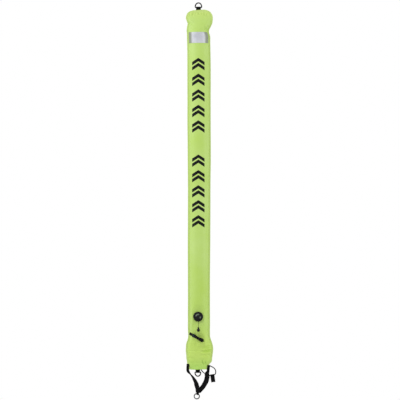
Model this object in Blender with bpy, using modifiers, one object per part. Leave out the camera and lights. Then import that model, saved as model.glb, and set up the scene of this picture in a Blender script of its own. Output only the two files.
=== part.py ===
"""Surface marker buoy: the long inflatable tube that a diver sends up to mark a position.

It hangs from the D-ring at its top, as when it is stored or shown. Units are metres, +Z is up and
the front faces -Y. The origin is where a hook bears inside the top D-ring.
Run with: blender --background --python part.py
"""

import math

import bmesh
import bpy
from mathutils import Matrix, Vector

GAP = 0.0003  # clearance between two pieces that touch, or that run on each other

# Fabric tube: two coated panels welded face to face along their edges
TUBE_LENGTH = 1.797
TUBE_RADIUS = 0.0455  # of the round, inflated stretch
WELD_FLANGE = 0.010  # flat weld that stands out on each side and across the top
FABRIC = 0.0006
TUBE_OFFSET = 0.00275  # the tube hangs this far to the right of the ring that holds it
HEAD_ROUNDING = 0.115  # from the top weld down to the full depth
MOUTH_DEPTH = 0.013  # from the weld plane to each panel at the open mouth
MOUTH_CUFF = 0.035  # straight stretch above the mouth
SKIRT_RISE = 0.150  # from the cuff up to the full depth
PANEL_SHARES = (0.0, 0.26, 0.47, 0.667, 0.883, 0.978, 1.0)  # columns, as shares of half a panel
STRAIGHT_ROWS = (0.360, 0.520, 0.940, 1.100, 1.260, 1.430)

# How far each edge stands out past the straight tube's: distance, left, right
HEAD_OUTLINE = (
    (0.000, -0.0255, -0.0255),
    (0.004, -0.0125, -0.0125),
    (0.010, -0.0025, -0.0005),
    (0.017, 0.0035, 0.0060),
    (0.026, 0.0075, 0.0110),
    (0.040, 0.0100, 0.0135),
    (0.055, 0.0065, 0.0130),
    (0.066, 0.0025, 0.0115),
    (0.085, 0.0045, 0.0030),
    (0.105, 0.0062, -0.0055),
    (0.116, 0.0050, -0.0048),
    (0.128, 0.0048, -0.0005),
    (0.160, 0.0040, 0.0008),
    (0.200, 0.0032, 0.0017),
    (0.270, 0.0030, 0.0030),
    (0.450, 0.0024, 0.0030),
    (0.600, 0.0023, 0.0031),
    (0.670, 0.0014, 0.0035),
    (0.775, 0.0008, 0.0034),
    (0.850, 0.0001, 0.0023),
    (1.025, 0.0, 0.0017),
    (1.175, 0.0005, 0.0009),
    (1.350, 0.0, -0.0008),
    (1.500, -0.0002, -0.0008),
    (1.600, 0.0, 0.0),
)
SKIRT_OUTLINE = (
    (0.000, -0.0035, -0.0125),
    (0.017, 0.0005, -0.0075),
    (0.027, 0.0025, -0.0020),
    (0.037, 0.0045, 0.0065),
    (0.057, 0.0080, 0.0105),
    (0.072, 0.0090, 0.0120),
    (0.102, 0.0105, 0.0155),
    (0.117, 0.0095, 0.0140),
    (0.137, 0.0065, 0.0085),
    (0.147, 0.0025, 0.0045),
    (0.167, -0.0015, 0.0),
    (0.177, -0.0008, -0.0005),
    (0.237, 0.0, 0.0),
    (0.400, 0.0, 0.0),
)

# Reflective tape
TAPE_DROP = 0.113  # from the top edge to the tape
TAPE_HEIGHT = 0.056
TAPE_THICKNESS = 0.0004
TAPE_SHARE = 0.985  # of the width between the welds

# Duckbill baffle inside the mouth
BAFFLE_ABOVE_MOUTH = 0.092  # its weld to the panels
BAFFLE_HEIGHT = 0.080
BAFFLE_FABRIC = 0.0004
BAFFLE_LIP_GAP = 0.010
BAFFLE_LIP_SHARE = 0.62
BAFFLE_ROWS = 5

# Webbing and D-rings
WEBBING = 0.0012  # one ply of the tabs
STRAP = 0.0015  # the bridle's webbing
STRAP_WIDTH = 0.025
ANCHOR_WIDTH = 0.014
RING_WIRE = 0.005  # the bridle's round ring
D_RING_WIRE = 0.006
D_RING_CORNER = 0.004
TOP_RING = (0.026, 0.0173)  # inside width and height
CENTRE_RING = (0.022, 0.015)
TAB_WIDTH = 0.024
TAB_TAIL = 0.012  # sewn length between or on the panels
TAB_SHOWS = 0.0117  # from the ring's bar to the fabric
CENTRE_TAB_X = -0.003
CENTRE_TAB_TAIL = 0.026
CENTRE_TAB_SHOWS = 0.0142
CENTRE_FOLD_WIDTH = 0.020  # the tab narrows to this round the bar
FOLD_TAPER = 0.006

# Dump valve
VALVE_X = -0.00175
VALVE_ABOVE_MOUTH = 0.265
VALVE_SEAT_DEPTH = TUBE_RADIUS - 0.0075  # from the weld plane to the flat that the valve clamps
VALVE_RADIUS = 0.0245
VALVE_FLANGE_RADIUS = 0.020
VALVE_FLANGE = 0.0015
VALVE_NECK_RADIUS = 0.0145
VALVE_BORE = 0.012
VALVE_SEAT_HEIGHT = 0.004
GASKET = 0.001
GASKET_RADIUS = 0.022
HOUSING_HEIGHT = 0.0064
HOUSING_FLOOR = 0.003
HOUSING_WALL = 0.0033
POPPET_RADIUS = 0.0135
POPPET_DISC = 0.0012
POPPET_LIFT = 0.003
POPPET_STEM = 0.0015
CAP_LID = 0.0017
CAP_KNOB_RADIUS = 0.014
CAP_KNOB_HEIGHT = 0.0058  # above the housing's rim
CAP_KNOB_WALL = 0.0025
CAP_DOME_RADIUS = 0.009
CAP_DOME_HEIGHT = 0.003
CAP_RIM = 0.0025  # height of the cap's rim
EDGE = 0.0006  # how far a moulded edge is rounded off
VENT_COUNT = 8
VENT_WIDTH = 0.003
VENT_LENGTH = 0.0045
VALVE_SPRING_RADIUS = 0.005
VALVE_SPRING_WIRE = 0.0008
VALVE_SPRING_TURNS = 4
DUMP_CORD = 0.0018
DUMP_CORD_X = 0.003  # from the valve's axis to the hole in its wall
DUMP_CORD_HEIGHT = 0.0063  # above the fabric
BEAD_RADIUS = 0.0076
BEAD_LENGTH = 0.0238
BEAD_HOLE_DEPTH = 0.004

# Oral inflator
PORT_X = 0.01675
PORT_ABOVE_MOUTH = 0.1475
PORT_SEAT_DEPTH = TUBE_RADIUS - 0.009
NECK_RADIUS = 0.0048
NECK_BORE = 0.003
NECK_FLANGE_RADIUS = 0.011
NECK_FLANGE = 0.0015
NECK_HEIGHT = 0.0075
HOSE_STANDOFF = 0.0135  # from the fabric to the hose's axis
HOSE_ANGLE = 29.6  # degrees above level, towards -X
HOSE_RADIUS = 0.0068
HOSE_BORE = 0.0045
HOSE_START = 0.0052
HOSE_END = 0.0352
BOOT_RADIUS = 0.008
BOOT_BALL = 0.0083  # round the bend, and along the hose
BOOT_OUTLET = 0.014
BOOT_PAD = 0.0022
BOOT_PAD_RADIUS = 0.0095
BOOT_TIP = 0.0125
TIE_START = 0.0185
TIE_WIDTH = 0.003
TIE_THICKNESS = 0.0013
TIE_HEAD = (0.005, 0.0028, 0.0045)
BARB_START = 0.027
BARB_RADIUS = HOSE_BORE - 0.0002
BARREL_START = 0.0355
BARREL_END = 0.0532
BARREL_RADIUS = 0.008
BARREL_CHAMBER = 0.0054
BACK_CHAMBER = 0.005
SEAT_BORE = 0.0026
SEAT_BACK = 0.042
SEAT_FRONT = 0.0432
LOCK_RING_START = 0.046
LOCK_RING_WIDTH = 0.0045
LOCK_RING_THICKNESS = 0.0017
PUSH_TRAVEL = 0.003
NOZZLE_RADIUS = 0.005
NOZZLE_BORE = 0.0032
NOZZLE_START = 0.0505
NOZZLE_END = 0.0705
NOZZLE_TIP_RADIUS = 0.0065
NOZZLE_WEB = 0.0015
LIP_RADIUS = 0.0095
LIP_THICKNESS = 0.0045
INNER_STEM = 0.0009
INNER_DISC_RADIUS = 0.0042
INNER_DISC = 0.0012
MOUTH_SPRING_RADIUS = 0.0042
MOUTH_SPRING_WIRE = 0.0007
MOUTH_SPRING_TURNS = 4

# Bridle: two webbing legs from the bottom corners to one ring
PIVOT_DROP = 0.003  # the legs bend this far below the mouth
LEG_SPREAD_DROP = 0.075  # the legs have moved apart, front and rear, this far below the bend
LEFT_ANCHOR_TOP = (-0.9465, 0.0275)  # across, in half widths of the tube, and above the mouth
LEFT_ANCHOR_FOOT = -0.9645
RIGHT_ANCHOR_TOP = (0.930, 0.0210)
RIGHT_ANCHOR_FOOT = 0.876
FOOT_SPREAD = 0.003  # the legs' ends stand this much further apart, round the keeper's fold
FOOT_SPREAD_DROPS = (0.098, 0.110)
KEEPER_WIDTH = 0.48 * STRAP_WIDTH
KEEPER_BORE = 0.0043
KEEPER_PLY = 0.0013
KEEPER_SLACK = 0.0006
KEEPER_TAIL = 0.0185
KEEPER_LEAN = 18.0  # degrees from upright, towards +X
BRIDLE_RING_RADIUS = 0.013  # to the wire's centre
BRIDLE_RING_X = -0.00825
BRIDLE_RING_DROP = 0.1345  # its centre below the mouth
BRIDLE_RING_SEGMENTS = 24

# Each leg's middle line below its pivot: across in half widths, down, twist in degrees, width
LEFT_LEG = (
    (LEFT_ANCHOR_FOOT, 0.0000, 0, ANCHOR_WIDTH),
    (-0.915, 0.0085, 35, 0.0165),
    (-0.762, 0.0190, 70, 0.0225),
    (-0.540, 0.0335, 65, STRAP_WIDTH),
    (-0.369, 0.0485, 50, STRAP_WIDTH),
    (-0.235, 0.0630, 36, 0.0245),
    (-0.158, 0.0780, 0, 0.0225),
    (-0.0775, 0.0930, 0, 0.0220),
    (-0.0667, 0.1060, 0, 0.0205),
    (-0.060, 0.1135, 0, 0.0190),
)
RIGHT_LEG = (
    (RIGHT_ANCHOR_FOOT, 0.0000, 0, ANCHOR_WIDTH),
    (0.862, 0.0075, -4, 0.0150),
    (0.800, 0.0145, -10, 0.0200),
    (0.768, 0.0215, -15, 0.0240),
    (0.788, 0.0330, -14, STRAP_WIDTH),
    (0.752, 0.0430, -12, STRAP_WIDTH),
    (0.715, 0.0530, -8, STRAP_WIDTH),
    (0.636, 0.0630, 0, 0.0245),
    (0.530, 0.0730, 0, 0.0238),
    (0.419, 0.0830, 0, 0.0235),
    (0.271, 0.0930, 0, 0.0230),
    (0.134, 0.1030, 0, 0.0215),
    (-0.005, 0.1130, 0, 0.0190),
)

# Elastic loop at the bottom right corner, with its pull tab
LOOP_CORD = 0.005
PULL_TAB_WIDTH = 0.021
PULL_TAB_LENGTH = 0.036
LOOP_ROUTE = (
    (0.0122, 0.0164, -1.8270),
    (0.0138, 0.0164, -1.8322),
    (0.0180, 0.0150, -1.8385),
    (0.0232, 0.0133, -1.8440),
    (0.0297, 0.0117, -1.8485),
    (0.0367, 0.0103, -1.8520),
    (0.0437, 0.0091, -1.8550),
    (0.0507, 0.0080, -1.8577),
    (0.0567, 0.0074, -1.8597),
    (0.0603, 0.0074, -1.8593),
    (0.0693, 0.0074, -1.8580),
    (0.0783, 0.0074, -1.8567),
    (0.0815, 0.0074, -1.8556),
    (0.0845, 0.0069, -1.8520),
    (0.0862, 0.0063, -1.8462),
    (0.0864, 0.0057, -1.8395),
    (0.0848, 0.0052, -1.8328),
    (0.0812, 0.0048, -1.8268),
    (0.0762, 0.0046, -1.8220),
    (0.0700, 0.0044, -1.8180),
    (0.0632, 0.0042, -1.8145),
    (0.0566, 0.0040, -1.8115),
    (0.0500, 0.0038, -1.8090),
)
# The dump cord: across from the valve's axis, outwards from the fabric, above the axis
DUMP_CORD_ROUTE = (
    (DUMP_CORD_X, DUMP_CORD_HEIGHT, -0.0150),
    (DUMP_CORD_X, DUMP_CORD_HEIGHT, -0.0185),
    (DUMP_CORD_X, DUMP_CORD_HEIGHT, -0.0220),
    (0.00300, 0.0065, -0.0255),
    (0.00295, 0.0075, -0.0290),
    (0.00280, 0.0090, -0.0325),
    (0.00255, 0.0108, -0.0360),
    (0.00220, 0.0129, -0.0392),
    (0.00180, 0.0146, -0.0423),
    (0.00150, 0.0156, -0.0454),
    (0.00145, 0.0159, -0.0486),
    (0.00145, 0.0159, -0.0518),
    (0.00145, 0.0159, -0.0550),
)
PULL_TAB_AT = 10  # the point of the loop's route that the pull tab hangs on

# Places worked out from the sizes above
BAR_Z = -(TOP_RING[1] + D_RING_WIRE / 2)
TUBE_TOP_Z = BAR_Z - TAB_SHOWS
HALF_WIDTH = TUBE_RADIUS + WELD_FLANGE
MOUTH_Z = TUBE_TOP_Z - TUBE_LENGTH
HALF_WELD = GAP / 2
FLANGE_FACE = HALF_WELD + FABRIC  # from the weld plane to a flange's outer face
BRIDLE_Y = -(FLANGE_FACE + GAP + STRAP / 2)
PIVOT_Z = MOUTH_Z - PIVOT_DROP
PIVOT_CLEARANCE = STRAP / 2 + GAP / 2
CENTRE_BAR_Z = MOUTH_Z - CENTRE_TAB_SHOWS - GAP
TAB_Y = HALF_WELD + MOUTH_DEPTH + FABRIC + GAP + WEBBING

YELLOW = (0.46, 0.68, 0.16)
SILVER = (0.60, 0.61, 0.66)
BLACK = (0.012, 0.012, 0.013)
RUBBER = (0.020, 0.020, 0.021)
STEEL = (0.42, 0.42, 0.43)
GUNMETAL = (0.10, 0.10, 0.10)
BLUE_GREY = (0.25, 0.30, 0.38)
OLIVE = (0.030, 0.035, 0.015)


def start_scene():
    for old in list(bpy.data.objects):
        bpy.data.objects.remove(old, do_unlink=True)
    made = []
    for name in ("surface_marker_buoy", "cutters"):
        collection = bpy.data.collections.new(name)
        bpy.context.scene.collection.children.link(collection)
        made.append(collection)
    return made


PARTS, CUTTERS = start_scene()


def finish(part, colour, roughness=0.6, metallic=0.0):
    """The piece's own material."""
    material = bpy.data.materials.new(part.name)
    material.use_nodes = True
    shader = material.node_tree.nodes["Principled BSDF"]
    shader.inputs["Base Color"].default_value = (*colour, 1.0)
    shader.inputs["Roughness"].default_value = roughness
    shader.inputs["Metallic"].default_value = metallic
    part.data.materials.clear()
    part.data.materials.append(material)
    return part


def add(name, data, collection=None):
    part = bpy.data.objects.new(name, data)
    (collection or PARTS).objects.link(part)
    if collection is CUTTERS:
        part.hide_render = True
        part.display_type = "WIRE"
    return part


def mesh_object(name, points, faces=(), edges=(), collection=None):
    mesh = bpy.data.meshes.new(name)
    mesh.from_pydata([tuple(p) for p in points], list(edges), list(faces))
    mesh.update()
    return add(name, mesh, collection)


def inside_out(part):
    bpy.context.view_layer.update()
    solid = part.evaluated_get(bpy.context.evaluated_depsgraph_get())
    body = bmesh.new()
    body.from_mesh(solid.to_mesh())
    volume = body.calc_volume(signed=True)
    body.free()
    solid.to_mesh_clear()
    return volume < 0


def turned(name, profile, place, steps=24, closed=True, collection=None):
    """A profile of radius and height, turned about the local Z axis.

    A closed profile is a ring's section. An open one runs from the axis at the top, down its outer
    side, and back to the axis.
    """
    count = len(profile)
    edges = [(i, (i + 1) % count) for i in range(count if closed else count - 1)]
    part = mesh_object(name, [(r, 0, z) for r, z in profile], edges=edges, collection=collection)
    screw = part.modifiers.new("turn", "SCREW")
    screw.axis = "Z"
    screw.angle = math.tau
    screw.steps = steps
    screw.render_steps = steps
    screw.use_merge_vertices = True
    screw.merge_threshold = 0.00002
    screw.use_smooth_shade = True
    screw.use_normal_calculate = True
    part.matrix_world = place
    screw.use_normal_flip = inside_out(part)
    return part


def cylinder(name, radius, low, high, place, steps=24, collection=None):
    """A cylinder from one height to another on the local Z axis."""
    body = bmesh.new()
    bmesh.ops.create_cone(
        body,
        cap_ends=True,
        segments=steps,
        radius1=radius,
        radius2=radius,
        depth=high - low,
        matrix=Matrix.Translation((0, 0, (low + high) / 2)),
    )
    mesh = bpy.data.meshes.new(name)
    body.to_mesh(mesh)
    body.free()
    part = add(name, mesh, collection)
    part.matrix_world = place
    return part


def box(name, size, centre, place, collection=None):
    body = bmesh.new()
    bmesh.ops.create_cube(body, size=1.0, matrix=Matrix.LocRotScale(centre, None, size))
    mesh = bpy.data.meshes.new(name)
    body.to_mesh(mesh)
    body.free()
    part = add(name, mesh, collection)
    part.matrix_world = place
    return part


def combine(part, operation, tool):
    cut = part.modifiers.new(tool.name, "BOOLEAN")
    cut.operation = operation
    cut.solver = "EXACT"
    cut.object = tool


def wire(name, points, radius, cyclic=False, bevel=2, tilt=0.0):
    curve = bpy.data.curves.new(name, "CURVE")
    curve.dimensions = "3D"
    curve.bevel_depth = radius
    curve.bevel_resolution = bevel
    curve.use_fill_caps = not cyclic
    spline = curve.splines.new("POLY")
    spline.points.add(len(points) - 1)
    for corner, place in zip(spline.points, points):
        corner.co = (*place, 1.0)
        corner.tilt = tilt
    spline.use_cyclic_u = cyclic
    return add(name, curve)


def smooth_line(route, step):
    """Points about a step apart on the smooth curve through a route's own points."""
    route = [Vector(p) for p in route]
    ends = [2 * route[0] - route[1], *route, 2 * route[-1] - route[-2]]
    line = [route[0]]
    for before, a, b, after in zip(ends, ends[1:], ends[2:], ends[3:]):
        count = max(1, round((b - a).length / step))
        for i in range(1, count + 1):
            t = i / count
            line.append(
                0.5
                * (
                    2 * a
                    + (b - before) * t
                    + (2 * before - 5 * a + 4 * b - after) * t**2
                    + (3 * a - before - 3 * b + after) * t**3
                )
            )
    return line


def pivot(name, place):
    empty = bpy.data.objects.new(name, None)
    PARTS.objects.link(empty)
    empty.matrix_world = Matrix.Translation(place)
    return empty


def carry(parent, *pieces):
    """Parents pieces to what carries them, and leaves them where they are."""
    bpy.context.view_layer.update()
    for piece in pieces:
        piece.parent = parent
        piece.matrix_parent_inverse = parent.matrix_world.inverted()


def read(table, at):
    """The row of a table at a distance, on the straight line between its neighbours."""
    if at <= table[0][0]:
        return table[0][1:]
    for low, high in zip(table, table[1:]):
        if at <= high[0]:
            share = (at - low[0]) / (high[0] - low[0])
            return tuple(a + share * (b - a) for a, b in zip(low[1:], high[1:]))
    return table[-1][1:]


def smooth(value):
    value = min(1.0, max(0.0, value))
    return value * value * (3 - 2 * value)


def edges_at(drop):
    """How far the left and the right edge are from the tube's axis, below the top edge."""
    head = read(HEAD_OUTLINE, drop)
    skirt = read(SKIRT_OUTLINE, TUBE_LENGTH - drop)
    return HALF_WIDTH + head[0] + skirt[0], HALF_WIDTH + head[1] + skirt[1]


def full_depth(half_width):
    """The depth of an inflated section whose panels keep the width that they were cut to."""
    low, high = 0.0, 2 * TUBE_RADIUS
    for _ in range(40):
        depth = (low + high) / 2
        a, b = half_width, depth
        around = math.pi / 2 * (3 * (a + b) - math.sqrt((3 * a + b) * (a + 3 * b)))
        low, high = (depth, high) if around < math.pi * TUBE_RADIUS else (low, depth)
    return low


def depth_at(drop):
    left, right = edges_at(drop)
    depth = full_depth((left + right) / 2 - WELD_FLANGE)
    closing = min(1.0, max(0.0, (drop - WELD_FLANGE) / HEAD_ROUNDING))
    depth *= math.sin(closing * math.pi / 2)
    opening = min(1.0, max(0.0, (TUBE_LENGTH - drop - MOUTH_CUFF) / SKIRT_RISE))
    if opening == 1.0:
        return depth
    return MOUTH_DEPTH + (depth - MOUTH_DEPTH) * math.sin(opening * math.pi / 2)


def clamped(across, along, reach, fade_across, fade_along):
    """1 on the flat that a fitting clamps, 0 away from it."""
    return smooth(1 + (reach - abs(across)) / fade_across) * smooth(1 + (reach - abs(along)) / fade_along)


# The flats that the valve and the inflator's neck clamp: across, drop, depth, reach, fades
FLATS = (
    (VALVE_X, TUBE_LENGTH - VALVE_ABOVE_MOUTH, VALVE_SEAT_DEPTH, VALVE_RADIUS + 0.0066, 0.0075, 0.030),
    (PORT_X, TUBE_LENGTH - PORT_ABOVE_MOUTH, PORT_SEAT_DEPTH, BOOT_TIP + 0.0035, 0.009, 0.030),
)


def tab_room(x, drop):
    """How far the panels part for the webbing tab between them."""
    across = smooth(1 + (TAB_WIDTH / 2 + 0.006 - abs(x)) / 0.010)
    along = smooth(1 + (TAB_TAIL + 0.005 - drop) / 0.015)
    return (WEBBING + GAP - HALF_WELD) * across * along


def panel_point(drop, share, side):
    """A point on a panel's inner face. side is -1 on the front panel and 1 on the rear one."""
    left, right = edges_at(drop)
    half = (left + right) / 2 - WELD_FLANGE
    x = TUBE_OFFSET + (right - left) / 2 + half * max(-1.0, min(1.0, share))
    if share < -1:
        x = TUBE_OFFSET - left
    elif share > 1:
        x = TUBE_OFFSET + right
    bulge = math.sqrt(max(0.0, 1 - share * share))
    depth = HALF_WELD + depth_at(drop) * bulge + tab_room(x, drop)
    if side < 0:
        for flat_x, flat_drop, seat, reach, fade_x, fade_z in FLATS:
            pressed = clamped(x - flat_x, drop - flat_drop, reach, fade_x, fade_z)
            depth += pressed * (seat - depth)
    return Vector((x, side * depth, TUBE_TOP_Z - drop))


def columns(limit=1.0):
    return sorted({sign * min(share, limit) for share in PANEL_SHARES for sign in (-1, 1)})


def panel_rows():
    """The drops at which the panels have a row of points."""
    rows = [row[0] for row in HEAD_OUTLINE] + list(STRAIGHT_ROWS)
    rows += [TUBE_LENGTH - row[0] for row in SKIRT_OUTLINE]
    rows += [TAPE_DROP, TAPE_DROP + TAPE_HEIGHT / 2, TAPE_DROP + TAPE_HEIGHT]
    rows.append(TUBE_LENGTH - BAFFLE_ABOVE_MOUTH)
    for _, drop, _, reach, _, fade in FLATS:
        rows += [drop - reach - fade / 2, drop - reach, drop, drop + reach, drop + reach + fade / 2]
    kept = []
    fixed = {0.0, TUBE_LENGTH, TAPE_DROP, TAPE_DROP + TAPE_HEIGHT, TUBE_LENGTH - BAFFLE_ABOVE_MOUTH}
    for row in sorted(rows):
        if kept and row - kept[-1] < 0.005:
            if row in fixed:
                kept[-1] = row
            continue
        kept.append(row)
    return kept


def sheet(name, grid, side, thickness, outset=0.0, inwards=False):
    """A thin skin from rows of points, thickened away from the tube's inside, or towards it."""
    width = len(grid[0])
    points = [p for row in grid for p in row]
    faces = []
    for i in range(len(grid) - 1):
        for j in range(width - 1):
            a = i * width + j
            face = (a, a + 1, a + width + 1, a + width)
            faces.append(face if side > 0 else face[::-1])
    part = mesh_object(name, points, faces)
    mesh = part.data
    if outset:
        body = bmesh.new()
        body.from_mesh(mesh)
        body.normal_update()
        for corner in body.verts:
            corner.co += corner.normal * outset
        body.to_mesh(mesh)
        body.free()
    wall = part.modifiers.new("wall", "SOLIDIFY")
    wall.thickness = thickness
    wall.offset = -1.0 if inwards else 1.0
    mesh.shade_smooth()
    return part


def fabric_panels():
    rows = panel_rows()
    shares = [-2.0, *columns(), 2.0]
    panels = []
    for name, side in (("front_panel", -1), ("rear_panel", 1)):
        grid = [[panel_point(drop, share, side) for share in shares] for drop in rows]
        panels.append(finish(sheet(name, grid, side, FABRIC), YELLOW, 0.45))
    return panels


def reflective_tape():
    drops = (TAPE_DROP, TAPE_DROP + TAPE_HEIGHT / 2, TAPE_DROP + TAPE_HEIGHT)
    rows = [drop for drop in panel_rows() if drops[0] <= drop <= drops[-1]]
    for name, side in (("front_tape", -1), ("rear_tape", 1)):
        grid = [[panel_point(drop, share, side) for share in columns(TAPE_SHARE)] for drop in rows]
        finish(sheet(name, grid, side, TAPE_THICKNESS, outset=FABRIC + GAP), SILVER, 0.3)


def baffle():
    """Two flaps welded round the skirt, whose lips meet above: gas passes up between them."""
    weld_drop = TUBE_LENGTH - BAFFLE_ABOVE_MOUTH
    left, right = edges_at(weld_drop)
    middle = TUBE_OFFSET + (right - left) / 2
    half = (left + right) / 2 - WELD_FLANGE - 3 * GAP
    depth = depth_at(weld_drop) - 4 * GAP
    for name, side in (("front_baffle", -1), ("rear_baffle", 1)):
        grid = []
        for i in range(BAFFLE_ROWS):
            rise = i / (BAFFLE_ROWS - 1)
            lip = smooth(rise)
            row = []
            for share in columns():
                arch = 2 * GAP + depth * math.sqrt(max(0.0, 1 - share * share))
                y = (1 - lip) * arch + lip * (BAFFLE_LIP_GAP / 2 + BAFFLE_FABRIC)
                x = middle + half * share * (1 - (1 - BAFFLE_LIP_SHARE) * rise)
                row.append(Vector((x, side * y, TUBE_TOP_Z - weld_drop + BAFFLE_HEIGHT * rise)))
            grid.append(row)
        grid.reverse()
        finish(sheet(name, grid, side, BAFFLE_FABRIC, inwards=True), YELLOW, 0.5)


def webbing_loop(name, place, width, bore, ply, tail, colour=BLACK):
    """Webbing folded round a bar on the local X axis, its two plies joined in a tail towards -Z."""
    part = add(name, folded_outline(name, width, bore, ply, tail))
    part.matrix_world = place @ FLAT_TO_YZ
    return finish(part, colour, 0.8)


def tapered_webbing_loop(name, place, width, fold_width, bore, ply, tail):
    """The same, and narrower round the bar than in its tail."""
    taper = (-(bore + ply) - FOLD_TAPER, -(bore + ply))
    flat = bpy.data.objects.new(name, folded_outline(name, width, bore, ply, tail, taper))
    bpy.context.scene.collection.objects.link(flat)
    bpy.context.view_layer.update()
    mesh = bpy.data.meshes.new_from_object(flat.evaluated_get(bpy.context.evaluated_depsgraph_get()))
    bpy.data.objects.remove(flat, do_unlink=True)
    for corner in mesh.vertices:
        share = smooth((corner.co.y - taper[0]) / FOLD_TAPER)
        corner.co.z *= 1 - share * (1 - fold_width / width)
    body = bmesh.new()
    body.from_mesh(mesh)
    bmesh.ops.remove_doubles(body, verts=body.verts, dist=0.00001)
    bmesh.ops.triangulate(body, faces=body.faces)
    bmesh.ops.recalc_face_normals(body, faces=body.faces)
    body.to_mesh(mesh)
    body.free()
    part = add(name, mesh)
    part.matrix_world = place @ FLAT_TO_YZ
    return finish(part, BLACK, 0.8)


FLAT_TO_YZ = Matrix(((0, 0, 1, 0), (1, 0, 0, 0), (0, 1, 0, 0), (0, 0, 0, 1)))


def folded_outline(name, width, bore, ply, tail, between=()):
    """A flat curve of the fold and its tail, with the width as its thickness."""
    outer = bore + ply
    start = math.asin(ply / outer)
    steps = 14
    outline = [(-ply, -tail), *((-ply, z) for z in between)]
    for i in range(steps + 1):
        angle = -math.pi / 2 - start - i * (math.tau - 2 * start) / steps
        outline.append((outer * math.cos(angle), outer * math.sin(angle)))
    outline += [*((ply, z) for z in reversed(between)), (ply, -tail)]
    turns = [i * math.tau / steps for i in range(steps)]
    hole = [(bore * math.cos(turn), bore * math.sin(turn)) for turn in turns]
    curve = bpy.data.curves.new(name, "CURVE")
    curve.dimensions = "2D"
    curve.fill_mode = "BOTH"
    curve.extrude = width / 2
    for points in (outline, hole):
        spline = curve.splines.new("POLY")
        spline.points.add(len(points) - 1)
        for corner, (y, z) in zip(spline.points, points):
            corner.co = (y, z, 0.0, 1.0)
        spline.use_cyclic_u = True
    return curve


def d_ring(name, place, inside, colour, roughness):
    """A D-ring with its straight bar on the local X axis and its bow towards +Z."""
    half = (inside[0] + D_RING_WIRE) / 2
    tall = inside[1] + D_RING_WIRE
    corner = D_RING_CORNER
    points = []
    for i in range(5):
        angle = math.pi + i * math.pi / 8
        points.append((-half + corner + corner * math.cos(angle), 0, corner + corner * math.sin(angle)))
    for i in range(5):
        angle = 1.5 * math.pi + i * math.pi / 8
        points.append((half - corner + corner * math.cos(angle), 0, corner + corner * math.sin(angle)))
    bow = 15
    for i in range(1, bow):
        angle = i * math.pi / bow
        points.append((half * math.cos(angle), 0, corner + (tall - corner) * math.sin(angle)))
    ring = wire(name, points, D_RING_WIRE / 2, cyclic=True, tilt=math.pi / 8)
    ring.matrix_world = place
    return finish(ring, colour, roughness, 1.0)


def top_fitting():
    bar = Matrix.Translation((0, 0, BAR_Z))
    bore = D_RING_WIRE / 2 + GAP
    webbing_loop("top_tab", bar, TAB_WIDTH, bore, WEBBING, TAB_SHOWS + TAB_TAIL)
    ring = d_ring("top_ring", bar, TOP_RING, GUNMETAL, 0.4)
    carry(pivot("top_ring_pivot", (0, 0, BAR_Z)), ring)


def centre_fitting():
    bar = Matrix.Translation((CENTRE_TAB_X, TAB_Y, CENTRE_BAR_Z)) @ Matrix.Rotation(math.pi, 4, "X")
    bore = D_RING_WIRE / 2 + GAP
    tail = CENTRE_TAB_SHOWS + CENTRE_TAB_TAIL
    tapered_webbing_loop("centre_tab", bar, TAB_WIDTH, CENTRE_FOLD_WIDTH, bore, WEBBING, tail)
    ring = d_ring("centre_ring", bar, CENTRE_RING, GUNMETAL, 0.4)
    carry(pivot("centre_ring_pivot", bar.translation), ring)


def ribbon(name, stations, thickness, colour=BLACK):
    """Flat webbing through stations of middle point, direction across it, and width."""
    points = []
    faces = []
    count = len(stations)
    for i, (middle, across, width) in enumerate(stations):
        along = stations[min(i + 1, count - 1)][0] - stations[max(i - 1, 0)][0]
        face = along.cross(across).normalized() * thickness / 2
        side = across.normalized() * width / 2
        points += [middle - side - face, middle + side - face, middle + side + face, middle - side + face]
        if i:
            a, b = 4 * (i - 1), 4 * i
            for j in range(4):
                k = (j + 1) % 4
                faces.append((a + j, a + k, b + k, b + j))
    last = 4 * (count - 1)
    faces += [(3, 2, 1, 0), (last, last + 1, last + 2, last + 3)]
    part = mesh_object(name, points, faces)
    body = bmesh.new()
    body.from_mesh(part.data)
    bmesh.ops.recalc_face_normals(body, faces=body.faces)
    bmesh.ops.triangulate(body, faces=body.faces)
    body.to_mesh(part.data)
    body.free()
    return finish(part, colour, 0.8)


def leg(name, table, lean):
    """One bridle leg. It leans to the front or the rear at its foot, so that the two cross."""
    offset = KEEPER_PLY + GAP + STRAP / 2
    line = [Vector((share * HALF_WIDTH, 0, PIVOT_Z - down)) for share, down, _, _ in table]
    stations = []
    for i, (_, down, twist, width) in enumerate(table):
        along = line[min(i + 1, len(line) - 1)] - line[max(i - 1, 0)]
        level = Vector((-along.z, 0, along.x)).normalized() if i else Vector((1, 0, 0))
        turn = math.radians(twist)
        across = level * math.cos(turn) + Vector((0, lean * math.sin(turn), 0))
        begin, end = FOOT_SPREAD_DROPS
        foot = FOOT_SPREAD * smooth((down - begin) / (end - begin))
        y = BRIDLE_Y + lean * (offset * smooth(down / LEG_SPREAD_DROP) + foot)
        stations.append((line[i] + Vector((0, y, 0)), across, width))
    return ribbon(name, stations, STRAP)


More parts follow.
